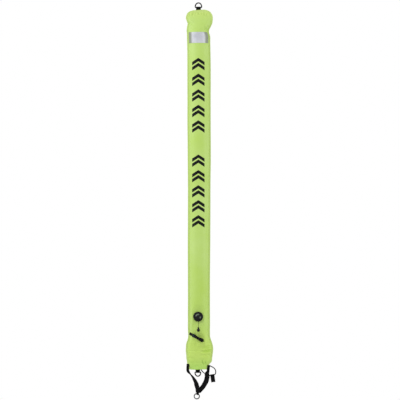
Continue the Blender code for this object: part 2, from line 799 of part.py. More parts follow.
def bridle():
    foot = PIVOT_Z + PIVOT_CLEARANCE
    for name, top, foot_share in (
        ("left_anchor", LEFT_ANCHOR_TOP, LEFT_ANCHOR_FOOT),
        ("right_anchor", RIGHT_ANCHOR_TOP, RIGHT_ANCHOR_FOOT),
    ):
        across = Vector((1, 0, 0))
        stations = [
            (Vector((foot_share * HALF_WIDTH, BRIDLE_Y, foot)), across, ANCHOR_WIDTH),
            (Vector((top[0] * HALF_WIDTH, BRIDLE_Y, MOUTH_Z + top[1])), across, ANCHOR_WIDTH),
        ]
        ribbon(name, stations, STRAP)
    left = leg("left_leg", LEFT_LEG, -1)
    right = leg("right_leg", RIGHT_LEG, 1)
    lean = math.radians(KEEPER_LEAN)
    towards = Vector((math.sin(lean), 0, math.cos(lean)))
    along = Vector((math.cos(lean), 0, -math.sin(lean)))
    centre = Vector((BRIDLE_RING_X, BRIDLE_Y, MOUTH_Z - BRIDLE_RING_DROP))
    hold = centre + towards * BRIDLE_RING_RADIUS
    turn = Matrix((along, Vector((0, -1, 0)), -towards)).transposed().to_4x4()
    place = Matrix.Translation(hold - towards * KEEPER_SLACK) @ turn
    keeper = webbing_loop("bridle_keeper", place, KEEPER_WIDTH, KEEPER_BORE, KEEPER_PLY, KEEPER_TAIL)
    points = []
    for i in range(BRIDLE_RING_SEGMENTS):
        angle = (i + 0.5) * math.tau / BRIDLE_RING_SEGMENTS
        points.append((BRIDLE_RING_RADIUS * math.cos(angle), 0, BRIDLE_RING_RADIUS * math.sin(angle)))
    ring = wire("bridle_ring", points, RING_WIRE / 2, cyclic=True, tilt=math.pi / 8)
    ring.matrix_world = Matrix.Translation(centre)
    finish(ring, STEEL, 0.25, 1.0)
    swing = pivot("bridle_pivot", (0, BRIDLE_Y, PIVOT_Z))
    hang = pivot("bridle_ring_pivot", hold)
    carry(hang, ring)
    carry(swing, left, right, keeper, hang)


def elastic_loop():
    cord = wire("elastic_loop", smooth_line(LOOP_ROUTE, 2.2 * LOOP_CORD), LOOP_CORD / 2)
    finish(cord, RUBBER, 0.7)
    before, middle, after = (Vector(p) for p in LOOP_ROUTE[PULL_TAB_AT - 1 : PULL_TAB_AT + 2])
    along = (after - before).normalized()
    up = Vector((0, 1, 0)).cross(along) * -1
    turn = Matrix((along, up.cross(along), up)).transposed().to_4x4()
    place = Matrix.Translation(middle) @ turn
    tab = webbing_loop("pull_tab", place, PULL_TAB_WIDTH, LOOP_CORD / 2 + GAP, WEBBING, PULL_TAB_LENGTH)
    swing = pivot("loop_pivot", LOOP_ROUTE[0])
    hang = pivot("pull_tab_pivot", middle)
    carry(hang, tab)
    carry(swing, cord, hang)


def coil(name, radius, wire_size, low, high, turns, place):
    """A compression spring about the local Z axis."""
    count = 9 * turns
    rise = high - low - wire_size
    points = []
    for i in range(count + 1):
        angle = i * math.tau / 9
        height = low + wire_size / 2 + rise * i / count
        points.append((radius * math.cos(angle), radius * math.sin(angle), height))
    spring = wire(name, points, wire_size / 2, bevel=1)
    spring.matrix_world = place
    print(f"{name}: least gap between turns {(rise / turns - wire_size) * 1000:.2f} mm")
    return finish(spring, STEEL, 0.3, 1.0)


def hole(part, name, radius, low, high, place, steps=24):
    combine(part, "DIFFERENCE", cylinder(name, radius, low, high, place, steps, collection=CUTTERS))


def dump_valve(panel):
    """Over-pressure and pull-dump valve, built outwards from the fabric along its own Z axis."""
    face = VALVE_SEAT_DEPTH + FABRIC
    outwards = Matrix.Rotation(math.pi / 2, 4, "X")
    place = Matrix.Translation((VALVE_X, -face, MOUTH_Z + VALVE_ABOVE_MOUTH)) @ outwards
    fabric_hole = VALVE_NECK_RADIUS + 2 * GAP
    hole(panel, "valve_hole", fabric_hole, -0.005, 0.005, place, 32)

    under = -FABRIC - GAP
    neck, bore, seat = VALVE_NECK_RADIUS, VALVE_BORE, VALVE_SEAT_HEIGHT
    base = turned(
        "valve_base",
        [
            (bore, under - VALVE_FLANGE),
            (VALVE_FLANGE_RADIUS, under - VALVE_FLANGE),
            (VALVE_FLANGE_RADIUS, under),
            (neck, under),
            (neck, seat),
            (bore, seat),
        ],
        place,
        32,
    )
    finish(base, BLACK, 0.4)

    gasket_top = GAP + GASKET
    gasket = turned(
        "valve_gasket",
        [(fabric_hole, GAP), (GASKET_RADIUS, GAP), (GASKET_RADIUS, gasket_top), (fabric_hole, gasket_top)],
        place,
        32,
    )
    finish(gasket, RUBBER, 0.8)

    low = gasket_top + GAP
    floor = low + HOUSING_FLOOR
    rim = low + HOUSING_HEIGHT
    outer, inner = VALVE_RADIUS, VALVE_RADIUS - HOUSING_WALL
    housing = turned(
        "valve_housing",
        [
            (neck + GAP, low),
            (outer - EDGE, low),
            (outer, low + EDGE),
            (outer, rim),
            (inner, rim),
            (inner, floor),
            (neck + GAP, floor),
        ],
        place,
        32,
    )
    cord_hole = place @ Matrix.Translation((DUMP_CORD_X, 0, DUMP_CORD_HEIGHT)) @ outwards
    hole(housing, "cord_hole", DUMP_CORD / 2 + GAP, inner - 0.004, outer + 0.004, cord_hole, 16)
    finish(housing, BLACK, 0.35)

    poppet_low = seat + GAP
    poppet_high = poppet_low + POPPET_DISC
    ceiling = rim + GAP + CAP_KNOB_HEIGHT
    stem_top = ceiling + 0.0003
    poppet = turned(
        "valve_poppet",
        [
            (0, stem_top),
            (POPPET_STEM, stem_top),
            (POPPET_STEM, poppet_high),
            (POPPET_RADIUS, poppet_high),
            (POPPET_RADIUS, poppet_low),
            (0, poppet_low),
        ],
        place,
        closed=False,
    )
    finish(poppet, RUBBER, 0.6)

    start = rim + GAP
    lid = start + CAP_RIM
    knob, knob_in = CAP_KNOB_RADIUS, CAP_KNOB_RADIUS - CAP_KNOB_WALL
    knob_top = ceiling + CAP_LID
    guide = POPPET_STEM + 2 * GAP
    guide_top = stem_top + POPPET_LIFT + GAP
    dome_foot, dome_top = knob_top + EDGE, knob_top + CAP_DOME_HEIGHT
    dome = [(0, dome_top)]
    for i in range(1, 5):
        angle = math.pi / 2 - i * math.pi / 8
        rise = (dome_top - dome_foot) * math.sin(angle)
        dome.append((CAP_DOME_RADIUS * math.cos(angle), dome_foot + rise))
    cap = turned(
        "valve_cap",
        [
            *dome,
            (CAP_DOME_RADIUS, knob_top - EDGE),
            (knob - 2 * EDGE, knob_top),
            (knob, knob_top - 2 * EDGE),
            (knob + EDGE, lid + 2 * EDGE),
            (outer - 3 * EDGE, lid),
            (outer, lid - 2 * EDGE),
            (outer, start),
            (inner, start),
            (inner, lid - CAP_LID),
            (knob_in, lid - CAP_LID + EDGE),
            (knob_in, ceiling),
            (guide, ceiling),
            (guide, guide_top),
            (0, guide_top),
        ],
        place,
        32,
        closed=False,
    )
    vent_middle = (knob + inner) / 2
    for i in range(VENT_COUNT):
        turn = place @ Matrix.Rotation((i + 0.5) * math.tau / VENT_COUNT, 4, "Z")
        size = (VENT_LENGTH, VENT_WIDTH, 4 * CAP_RIM)
        vent = box(f"vent_{i}", size, (vent_middle, 0, lid), turn, CUTTERS)
        combine(cap, "DIFFERENCE", vent)
    finish(cap, BLACK, 0.35)

    spring = coil(
        "valve_spring",
        VALVE_SPRING_RADIUS,
        VALVE_SPRING_WIRE,
        poppet_high + GAP,
        ceiling - GAP,
        VALVE_SPRING_TURNS,
        place,
    )

    route = [place @ Vector((across, up, out)) for across, out, up in DUMP_CORD_ROUTE]
    cord = wire("dump_cord", smooth_line(route, 2.4 * DUMP_CORD), DUMP_CORD / 2)
    finish(cord, OLIVE, 0.8)
    foot = route[-1] + Vector((0, 0, BEAD_HOLE_DEPTH - GAP))
    bead = dump_bead(Matrix.Translation(foot))
    carry(pivot("poppet_pivot", place.translation), poppet, spring)
    carry(pivot("dump_pull_pivot", route[0]), cord, bead)


def dump_bead(place):
    """A teardrop bead that hangs below its origin, with the cord's blind hole at the top."""
    radius, length = BEAD_RADIUS, BEAD_LENGTH
    bore = DUMP_CORD / 2 + GAP
    top = bore + 1.5 * EDGE
    centre = -(length - radius)
    profile = [(0, -BEAD_HOLE_DEPTH), (bore, -BEAD_HOLE_DEPTH), (bore, 0), (top, 0), (top + EDGE, -EDGE)]
    profile += [(0.50 * radius, 0.36 * centre), (0.80 * radius, 0.66 * centre)]
    for i in range(7):
        angle = math.radians(25) - i * math.radians(115) / 6
        profile.append((radius * math.cos(angle), centre + radius * math.sin(angle)))
    profile[-1] = (0, -length)
    return finish(turned("dump_bead", profile, place, closed=False), BLACK, 0.4)


def oral_inflator(panel):
    """Neck through the fabric, rubber boot, hose, and a push-to-open mouthpiece."""
    face = PORT_SEAT_DEPTH + FABRIC
    port = Vector((PORT_X, -face, MOUTH_Z + PORT_ABOVE_MOUTH))
    upright = Matrix.Translation(port) @ Matrix.Rotation(math.pi / 2, 4, "X")
    hole(panel, "port_hole", NECK_RADIUS + 2 * GAP, -0.005, 0.005, upright)
    under = -FABRIC - GAP
    neck = turned(
        "inflator_neck",
        [
            (NECK_BORE, under - NECK_FLANGE),
            (NECK_FLANGE_RADIUS, under - NECK_FLANGE),
            (NECK_FLANGE_RADIUS, under),
            (NECK_RADIUS, under),
            (NECK_RADIUS, NECK_HEIGHT),
            (NECK_BORE, NECK_HEIGHT),
        ],
        upright,
    )
    finish(neck, BLACK, 0.4)

    turn = math.radians(HOSE_ANGLE)
    along = Vector((-math.cos(turn), 0, math.sin(turn)))
    above = Vector((math.sin(turn), 0, math.cos(turn)))
    axes = Matrix((above, Vector((0, 1, 0)), along)).transposed().to_4x4()
    hose_line = Matrix.Translation(port + Vector((0, -HOSE_STANDOFF, 0))) @ axes

    boot = inflator_boot(upright, hose_line)
    hose = turned(
        "inflator_hose",
        [(HOSE_BORE, HOSE_START), (HOSE_RADIUS, HOSE_START), (HOSE_RADIUS, HOSE_END), (HOSE_BORE, HOSE_END)],
        hose_line,
    )
    finish(hose, RUBBER, 0.6)
    tie = hose_tie(hose_line)
    barrel = mouthpiece_barrel(hose_line)
    ring_in = BARREL_RADIUS + GAP
    ring_out = ring_in + LOCK_RING_THICKNESS
    ring_end = LOCK_RING_START + LOCK_RING_WIDTH
    lock_ring = turned(
        "lock_ring",
        [(ring_in, LOCK_RING_START), (ring_out, LOCK_RING_START), (ring_out, ring_end), (ring_in, ring_end)],
        hose_line,
    )
    finish(lock_ring, BLUE_GREY, 0.35)
    nozzle = mouthpiece_nozzle(hose_line)
    disc_high = SEAT_BACK - GAP
    stem_top = NOZZLE_START - GAP
    poppet = turned(
        "mouthpiece_poppet",
        [
            (0, stem_top),
            (INNER_STEM, stem_top),
            (INNER_STEM, disc_high),
            (INNER_DISC_RADIUS, disc_high),
            (INNER_DISC_RADIUS, disc_high - INNER_DISC),
            (0, disc_high - INNER_DISC),
        ],
        hose_line,
        closed=False,
    )
    finish(poppet, RUBBER, 0.6)
    spring = coil(
        "mouthpiece_spring",
        MOUTH_SPRING_RADIUS,
        MOUTH_SPRING_WIRE,
        SEAT_FRONT + GAP,
        NOZZLE_START - GAP,
        MOUTH_SPRING_TURNS,
        hose_line,
    )
    push = pivot("mouthpiece_pivot", hose_line @ Vector((0, 0, NOZZLE_START)))
    lock = pivot("lock_ring_pivot", hose_line @ Vector((0, 0, LOCK_RING_START)))
    carry(push, nozzle, poppet, spring)
    carry(lock, lock_ring)
    carry(pivot("inflator_pivot", port), boot, hose, tie, barrel, push, lock)


def inflator_boot(upright, hose_line):
    """Rubber elbow on a pointed pad, bored for the neck and for the hose."""
    boot = cylinder("inflator_boot", BOOT_RADIUS, BOOT_PAD / 2, HOSE_STANDOFF, upright)
    elbow = [(0, BOOT_OUTLET), (BOOT_BALL, BOOT_OUTLET)]
    for i in range(6):
        angle = i * math.pi / 10
        elbow.append((BOOT_BALL * math.cos(angle), -BOOT_BALL * math.sin(angle)))
    elbow[-1] = (0, -BOOT_BALL)
    combine(boot, "UNION", turned("boot_elbow", elbow, hose_line, closed=False, collection=CUTTERS))

    outline = []
    reach = math.acos(BOOT_PAD_RADIUS / BOOT_TIP)
    steps = 16
    for i in range(steps + 1):
        angle = reach + i * (math.tau - 2 * reach) / steps
        outline.append((BOOT_PAD_RADIUS * math.cos(angle), BOOT_PAD_RADIUS * math.sin(angle)))
    outline.append((BOOT_TIP, 0.0))
    count = len(outline)
    points = [(x, y, z) for z in (GAP, BOOT_PAD) for x, y in outline]
    faces = [tuple(range(count))[::-1], tuple(range(count, 2 * count))]
    faces += [(i, (i + 1) % count, count + (i + 1) % count, count + i) for i in range(count)]
    pad = mesh_object("boot_pad", points, faces, collection=CUTTERS)
    pad.matrix_world = upright @ Matrix.Rotation(-math.radians(HOSE_ANGLE), 4, "Z")
    combine(boot, "UNION", pad)
    hole(boot, "boot_neck_bore", NECK_RADIUS + GAP, -0.001, HOSE_STANDOFF + 0.0007, upright)
    hole(boot, "boot_hose_bore", HOSE_RADIUS + GAP, HOSE_START - GAP, BOOT_OUTLET + 0.002, hose_line)
    return finish(boot, RUBBER, 0.6)


def hose_tie(hose_line):
    inner = HOSE_RADIUS + GAP
    outer = inner + TIE_THICKNESS
    end = TIE_START + TIE_WIDTH
    tie = turned(
        "hose_tie", [(inner, TIE_START), (outer, TIE_START), (outer, end), (inner, end)], hose_line
    )
    centre = (0, -(outer - 0.0004 + TIE_HEAD[1] / 2), TIE_START + TIE_WIDTH / 2)
    combine(tie, "UNION", box("tie_head", TIE_HEAD, centre, hose_line, CUTTERS))
    return finish(tie, BLACK, 0.4)


def mouthpiece_barrel(hose_line):
    chamber, back = BARREL_CHAMBER, BACK_CHAMBER
    barb_bore = SEAT_BORE + 0.0002
    back_floor = SEAT_BACK - INNER_DISC - PUSH_TRAVEL - 3 * GAP
    barrel = turned(
        "mouthpiece_barrel",
        [
            (barb_bore, BARB_START),
            (BARB_RADIUS, BARB_START),
            (BARB_RADIUS, BARREL_START),
            (BARREL_RADIUS - EDGE, BARREL_START),
            (BARREL_RADIUS, BARREL_START + EDGE),
            (BARREL_RADIUS, BARREL_END - EDGE),
            (BARREL_RADIUS - EDGE, BARREL_END),
            (chamber, BARREL_END),
            (chamber, SEAT_FRONT),
            (SEAT_BORE, SEAT_FRONT),
            (SEAT_BORE, SEAT_BACK),
            (back, SEAT_BACK),
            (back, back_floor),
            (barb_bore, back_floor),
        ],
        hose_line,
    )
    return finish(barrel, BLACK, 0.4)


def mouthpiece_nozzle(hose_line):
    """The part that the lips close on. Pushed in, it opens the valve."""
    lip = BARREL_END + PUSH_TRAVEL + GAP
    nozzle = turned(
        "mouthpiece_nozzle",
        [
            (NOZZLE_BORE, NOZZLE_START),
            (NOZZLE_RADIUS, NOZZLE_START),
            (NOZZLE_RADIUS, lip),
            (LIP_RADIUS - EDGE, lip),
            (LIP_RADIUS, lip + EDGE),
            (LIP_RADIUS, lip + LIP_THICKNESS / 2),
            (NOZZLE_TIP_RADIUS + EDGE, lip + LIP_THICKNESS),
            (NOZZLE_TIP_RADIUS, NOZZLE_END - EDGE),
            (NOZZLE_TIP_RADIUS - EDGE, NOZZLE_END),
            (NOZZLE_BORE, NOZZLE_END),
        ],
        hose_line,
    )
    size = (2 * NOZZLE_BORE + EDGE, NOZZLE_WEB, NOZZLE_WEB)
    web = box("nozzle_web", size, (0, 0, NOZZLE_START + NOZZLE_WEB / 2), hose_line, CUTTERS)
    combine(nozzle, "UNION", web)
    return finish(nozzle, BLACK, 0.45)


front_panel, rear_panel = fabric_panels()
reflective_tape()
baffle()
top_fitting()
centre_fitting()
bridle()
elastic_loop()
dump_valve(front_panel)
oral_inflator(front_panel)
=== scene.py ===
"""Looks of the surface marker buoy: fabric, print, webbing, rings, valve and oral inflator.

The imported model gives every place. Lengths are in metres, the front faces -Y and +Z is up.
"""

import math

import bmesh
import bpy
import numpy as np
from mathutils import Matrix, Vector
from mathutils.bvhtree import BVHTree


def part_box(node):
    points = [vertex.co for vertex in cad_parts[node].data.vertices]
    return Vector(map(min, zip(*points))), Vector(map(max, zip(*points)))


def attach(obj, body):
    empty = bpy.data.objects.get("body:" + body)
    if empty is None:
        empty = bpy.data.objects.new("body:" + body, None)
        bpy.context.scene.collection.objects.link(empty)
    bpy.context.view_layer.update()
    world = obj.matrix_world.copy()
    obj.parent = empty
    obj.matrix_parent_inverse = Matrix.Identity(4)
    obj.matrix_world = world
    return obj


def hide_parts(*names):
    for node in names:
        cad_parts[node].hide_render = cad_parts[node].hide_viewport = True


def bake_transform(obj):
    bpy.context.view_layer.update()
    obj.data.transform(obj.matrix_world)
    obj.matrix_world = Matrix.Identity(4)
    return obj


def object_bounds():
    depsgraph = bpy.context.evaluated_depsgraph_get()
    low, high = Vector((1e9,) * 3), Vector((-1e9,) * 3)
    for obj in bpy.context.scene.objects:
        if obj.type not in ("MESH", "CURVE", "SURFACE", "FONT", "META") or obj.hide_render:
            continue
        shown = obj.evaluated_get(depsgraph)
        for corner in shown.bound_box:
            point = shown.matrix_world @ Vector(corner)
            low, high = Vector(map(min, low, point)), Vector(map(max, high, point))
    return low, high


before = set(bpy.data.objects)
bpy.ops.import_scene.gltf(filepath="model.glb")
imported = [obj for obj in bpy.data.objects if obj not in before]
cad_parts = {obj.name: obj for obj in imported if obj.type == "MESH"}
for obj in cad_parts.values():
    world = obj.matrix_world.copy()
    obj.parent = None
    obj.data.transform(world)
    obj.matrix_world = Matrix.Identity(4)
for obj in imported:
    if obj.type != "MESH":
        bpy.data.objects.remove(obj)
CAD_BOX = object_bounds()

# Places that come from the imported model
FRONT_LOW, FRONT_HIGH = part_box("front_panel")
TOP_Z = FRONT_HIGH.z
MOUTH_Z = FRONT_LOW.z
LENGTH = TOP_Z - MOUTH_Z

# Fabric
FABRIC = 0.0006
GAP = 0.0003
TUBE_RADIUS = 0.0455
WELD = 0.010
HALF_WIDTH = TUBE_RADIUS + WELD
TUBE_X = 0.00275
HEAD_ROUNDING = 0.115  # over this length the head swells to its full depth
MOUTH_DEPTH = 0.013  # half the depth of the slit at the mouth
MOUTH_CUFF = 0.035  # this length of the skirt stays as flat as the mouth
SKIRT_RISE = 0.150  # and over this length it swells to its full depth

# The photograph's frame: metres a pixel, and the pixel that the origin falls on
PIXEL = 0.005
ORIGIN_PIXEL = (198.45, 3.5)
IMAGE_SIDE = 400
CAMERA_DISTANCE = 14.0
SENSOR = 36.0

# Outlines: distance, and how far the left and right edges stand out past the straight tube's
HEAD_OUTLINE = (
    (0.000, -0.0255, -0.0255),
    (0.004, -0.0125, -0.0125),
    (0.010, -0.0025, -0.0005),
    (0.017, 0.0035, 0.0060),
    (0.026, 0.0075, 0.0110),
    (0.040, 0.0100, 0.0135),
    (0.055, 0.0065, 0.0130),
    (0.066, 0.0025, 0.0115),
    (0.085, 0.0045, 0.0030),
    (0.105, 0.0062, -0.0055),
    (0.116, 0.0050, -0.0048),
    (0.128, 0.0048, -0.0005),
    (0.160, 0.0040, 0.0008),
    (0.200, 0.0032, 0.0017),
    (0.270, 0.0030, 0.0030),
    (0.450, 0.0024, 0.0030),
    (0.600, 0.0023, 0.0031),
    (0.670, 0.0014, 0.0035),
    (0.775, 0.0008, 0.0034),
    (0.850, 0.0001, 0.0023),
    (1.025, 0.0, 0.0017),
    (1.175, 0.0005, 0.0009),
    (1.350, 0.0, -0.0008),
    (1.500, -0.0002, -0.0008),
    (1.600, 0.0, 0.0),
)
SKIRT_OUTLINE = (
    (0.000, -0.0035, -0.0125),
    (0.017, 0.0005, -0.0075),
    (0.027, 0.0025, -0.0020),
    (0.037, 0.0045, 0.0065),
    (0.057, 0.0080, 0.0105),
    (0.072, 0.0090, 0.0120),
    (0.102, 0.0105, 0.0155),
    (0.117, 0.0095, 0.0140),
    (0.137, 0.0065, 0.0085),
    (0.147, 0.0025, 0.0045),
    (0.167, -0.0015, 0.0),
    (0.177, -0.0008, -0.0005),
    (0.237, 0.0, 0.0),
    (0.400, 0.0, 0.0),
)


def box_middle(node):
    low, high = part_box(node)
    return (low + high) / 2


def placed(x_axis, y_axis, z_axis, at):
    """The matrix of a place, from the directions of its axes and its origin."""
    place = Matrix((x_axis, y_axis, z_axis)).transposed().to_4x4()
    place.translation = at
    return place


VALVE = box_middle("valve_housing")
VALVE_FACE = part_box("valve_housing")[1].y  # the housing's side that lies on the gasket
PORT = box_middle("inflator_neck")
VALVE_SEAT = 0.038
PORT_SEAT = 0.0365
# Where the fabric is clamped flat: middle, depth, reach, and how far it takes to swell again
FLATS = (
    (VALVE, VALVE_SEAT, 0.0262, 0.014, 0.042),
    (PORT, PORT_SEAT, 0.0138, 0.016, 0.030),
)


def frame_point(u, v):
    """The place at y = 0 that a pixel of the photograph's frame shows."""
    return Vector(((u - ORIGIN_PIXEL[0]) * PIXEL, 0.0, (ORIGIN_PIXEL[1] - v) * PIXEL))


def in_scene(name, data):
    """A new object with this data, linked to the scene."""
    made = bpy.data.objects.new(name, data)
    bpy.context.scene.collection.objects.link(made)
    return made


def place_camera():
    data = bpy.data.cameras.new("camera")
    data.sensor_width = SENSOR
    data.lens = SENSOR * CAMERA_DISTANCE / (IMAGE_SIDE * PIXEL)
    data.clip_end = 60.0
    camera = in_scene("camera", data)
    aim = frame_point(IMAGE_SIDE / 2, IMAGE_SIDE / 2)
    camera.location = aim - Vector((0, CAMERA_DISTANCE, 0))
    camera.rotation_euler = (math.pi / 2, 0, 0)
    bpy.context.scene.camera = camera


place_camera()


class Nodes:
    """Adds nodes to a tree. An input given as a socket is linked, and any other is set."""

    def __init__(self, tree):
        self.tree = tree

    def add(self, kind, inputs=None, **settings):
        node = self.tree.nodes.new(kind)
        for name, value in settings.items():
            setattr(node, name, value)
        for key, value in (inputs or {}).items():
            socket = node.inputs[key]
            if isinstance(value, bpy.types.NodeSocket):
                self.tree.links.new(value, socket)
            else:
                socket.default_value = value
        return node

    def math(self, operation, a, b=0.0, c=0.0):
        return self.add("ShaderNodeMath", {0: a, 1: b, 2: c}, operation=operation).outputs[0]

    def mix(self, share, a, b):
        return self.add("ShaderNodeMix", {0: share, 6: a, 7: b}, data_type="RGBA").outputs[2]

    def ramp(self, value, low, high, dark=0.0, light=1.0):
        inputs = {0: value, 1: low, 2: high, 3: dark, 4: light}
        return self.add("ShaderNodeMapRange", inputs).outputs[0]

    def noise(self, where, scale, detail=3.0, roughness=0.55):
        inputs = {"Vector": where, "Scale": scale, "Detail": detail, "Roughness": roughness}
        return self.add("ShaderNodeTexNoise", inputs).outputs["Fac"]

    def wave(self, distance, pitch):
        """A ridge at each pitch along a distance, from 0 to 1."""
        turns = self.math("MULTIPLY", distance, math.tau / pitch)
        return self.math("MULTIPLY_ADD", self.math("SINE", turns), 0.5, 0.5)


def linear(red, green, blue):
    """A colour as it looks, 0 to 255, in the linear values that a shader takes."""
    out = []
    for value in (red, green, blue):
        share = value / 255
        out.append(share / 12.92 if share <= 0.04045 else ((share + 0.055) / 1.055) ** 2.4)
    return (*out, 1.0)


def new_material(name, **sockets):
    """A material with its shader's own sockets set, ready for its texture nodes."""
    material = bpy.data.materials.new(name)
    material.use_nodes = True
    tree = material.node_tree
    nodes = Nodes(tree)
    shader = tree.nodes["Principled BSDF"]
    for key, value in sockets.items():
        shader.inputs[key.replace("_", " ")].default_value = value
    return material, nodes, shader


def coordinates(nodes):
    """The object's coordinates, its UV, and the UV's two parts."""
    found = nodes.add("ShaderNodeTexCoord")
    split = nodes.add("ShaderNodeSeparateXYZ", {0: found.outputs["UV"]})
    return found.outputs["Object"], found.outputs["UV"], split.outputs[0], split.outputs[1]


def dress(nodes, shader, height, distance, strength, **looks):
    """Links the shader's looks, and a bump of this height pattern and distance."""
    made = nodes.add("ShaderNodeBump", {"Height": height, "Distance": distance, "Strength": strength})
    looks["Normal"] = made.outputs[0]
    for name, value in looks.items():
        nodes.tree.links.new(value, shader.inputs[name.replace("_", " ")])


THREAD = 0.0007  # pitch of the panel fabric's weave
WELD_PRINT = 0.0024  # pitch of the ribs that the welding bar pressed
# Painted light and shade along the tube, lighter at the head and at the skirt's top and darker near the
# mouth: where the fabric's tone starts to change, where it has, by how much and to what
LIGHT_AND_SHADE_ZONES = (
    (-0.055, -0.018, 0.6, (199, 224, 112)),
    (-1.600, -1.670, 0.6, (199, 228, 106)),
    (-1.735, -1.785, 0.8, (172, 214, 100)),
)


def coated_fabric(name, pale, deep, edge):
    """Thin coated nylon: a fine plain weave under a smooth film, with a pressed weld at its edges."""
    material, nodes, shader = new_material(name, Specular_IOR_Level=0.36)
    place, _, across, along = coordinates(nodes)
    seam = nodes.add("ShaderNodeAttribute", attribute_name="seam").outputs["Fac"]
    cloud = nodes.noise(place, 7.0, 4.0)
    fine = nodes.noise(place, 90.0, 3.0)
    clouded = nodes.ramp(cloud, 0.30, 0.72, 0.0, 0.7)
    # More of the pale tone towards the head, and in clouds
    pale_share = nodes.math("MULTIPLY_ADD", nodes.ramp(along, -1.70, -0.10), 0.30, clouded)
    tone = nodes.mix(pale_share, deep, pale)
    tone = nodes.mix(nodes.ramp(fine, 0.55, 0.8, 0.0, 0.18), tone, deep)
    # Painted light and shade in bands along the tube
    for start, end, share, colour in LIGHT_AND_SHADE_ZONES:
        tone = nodes.mix(nodes.ramp(along, start, end, 0.0, share), tone, linear(*colour))
    tone = nodes.mix(seam, tone, edge)
    dull = nodes.ramp(fine, 0.3, 0.7, 0.40, 0.50)
    dull = nodes.math("MULTIPLY_ADD", seam, -0.10, dull)
    weave = nodes.math("MULTIPLY", nodes.wave(across, THREAD), nodes.wave(along, THREAD))
    ribs = nodes.math("MULTIPLY", nodes.wave(nodes.math("ADD", across, along), WELD_PRINT), seam)
    rough = nodes.math("MULTIPLY_ADD", nodes.noise(place, 260.0, 2.0), 1.2, weave)
    height = nodes.math("MULTIPLY_ADD", ribs, 1.6, rough)
    dress(nodes, shader, height, 0.00008, 0.5, Base_Color=tone, Roughness=dull)
    return material


FABRIC_PALE = linear(192, 221, 128)
FABRIC_DEEP = linear(180, 213, 92)
FABRIC_EDGE = linear(195, 219, 124)

panel_material = coated_fabric("coated_nylon", FABRIC_PALE, FABRIC_DEEP, FABRIC_EDGE)
flap_material = coated_fabric("flap_nylon", linear(196, 222, 130), linear(186, 214, 104), FABRIC_EDGE)

CELLS_A_METRE = 290.0


def reflective_material():
    """Silver tape of tiny glass cells under a clear film, in rows of sealed hexagons."""
    material, nodes, shader = new_material("reflective_tape", Metallic=0.12, Specular_IOR_Level=0.35)
    place, where = coordinates(nodes)[:2]
    inputs = {"Vector": where, "Scale": CELLS_A_METRE, "Randomness": 0.3}
    cells = nodes.add("ShaderNodeTexVoronoi", inputs, feature="DISTANCE_TO_EDGE")
    wall = nodes.ramp(cells.outputs["Distance"], 0.02, 0.09)
    cloud = nodes.noise(place, 22.0, 3.0)
    tone = nodes.mix(nodes.ramp(cloud, 0.35, 0.65), linear(190, 192, 200), linear(208, 211, 216))
    shade = nodes.add("ShaderNodeAttribute", attribute_name="shade").outputs["Fac"]
    # Painted shade: darker towards the tape's ends, as its points' shade says
    tone = nodes.mix(shade, tone, linear(138, 146, 126))
    tone = nodes.mix(nodes.ramp(wall, 0.0, 1.0, 0.22, 0.0), tone, linear(150, 150, 165))
    dull = nodes.ramp(cloud, 0.3, 0.7, 0.36, 0.48)
    dress(nodes, shader, wall, 0.00006, 0.6, Base_Color=tone, Roughness=dull)
    return material


def woven_material(name, dark, light, rib, roughness=0.75):
    """Webbing: twill ribs that slant across it, and thick selvedge threads."""
    material, nodes, shader = new_material(name, Specular_IOR_Level=0.06)
    place, _, across, along = coordinates(nodes)
    slant = nodes.math("ADD", along, nodes.math("ABSOLUTE", across))
    twill = nodes.wave(slant, rib)
    thread = nodes.wave(across, rib * 0.55)
    height = nodes.math("MULTIPLY_ADD", twill, 0.7, nodes.math("MULTIPLY", thread, 0.3))
    fluff = nodes.noise(place, 700.0, 2.0)
    tone = nodes.mix(nodes.math("MULTIPLY", height, nodes.ramp(fluff, 0.3, 0.7, 0.5, 1.0)), dark, light)
    dull = nodes.ramp(fluff, 0.3, 0.7, roughness - 0.08, roughness + 0.08)
    dress(nodes, shader, height, 0.00035, 0.8, Base_Color=tone, Roughness=dull)
    return material


MOULD_GRAIN = 1500.0


def moulded_material(name, dark, light, roughness, shine=0.12):
    """Moulded plastic or rubber: fine grain, and a few places worn lighter."""
    material, nodes, shader = new_material(name, Specular_IOR_Level=shine)
    place = coordinates(nodes)[0]
    grain = nodes.noise(place, MOULD_GRAIN)
    wear_and_highlight = nodes.ramp(nodes.noise(place, 60.0, 5.0), 0.52, 0.75)
    tone = nodes.mix(wear_and_highlight, dark, light)
    dull = nodes.ramp(grain, 0.3, 0.7, roughness, roughness + 0.08)
    dull = nodes.math("MULTIPLY_ADD", wear_and_highlight, 0.12, dull)
    dress(nodes, shader, grain, 0.00005, 0.5, Base_Color=tone, Roughness=dull)
    return material


def metal_material(name, dark, light, roughness, metallic=1.0):
    """Drawn and tumbled wire, with fine scratches and a little dulling."""
    material, nodes, shader = new_material(name, Metallic=metallic, Specular_IOR_Level=0.1)
    place = coordinates(nodes)[0]
    stretched = nodes.add("ShaderNodeMapping", {"Vector": place, "Scale": (1.0, 1.0, 9.0)}).outputs[0]
    scratches = nodes.noise(stretched, 900.0, 4.0)
    stain = nodes.noise(place, 120.0, 4.0)
    tone = nodes.mix(nodes.ramp(stain, 0.35, 0.7), light, dark)
    dull = nodes.ramp(scratches, 0.3, 0.75, roughness, roughness + 0.18)
    dress(nodes, shader, scratches, 0.00004, 0.4, Base_Color=tone, Roughness=dull)
    return material


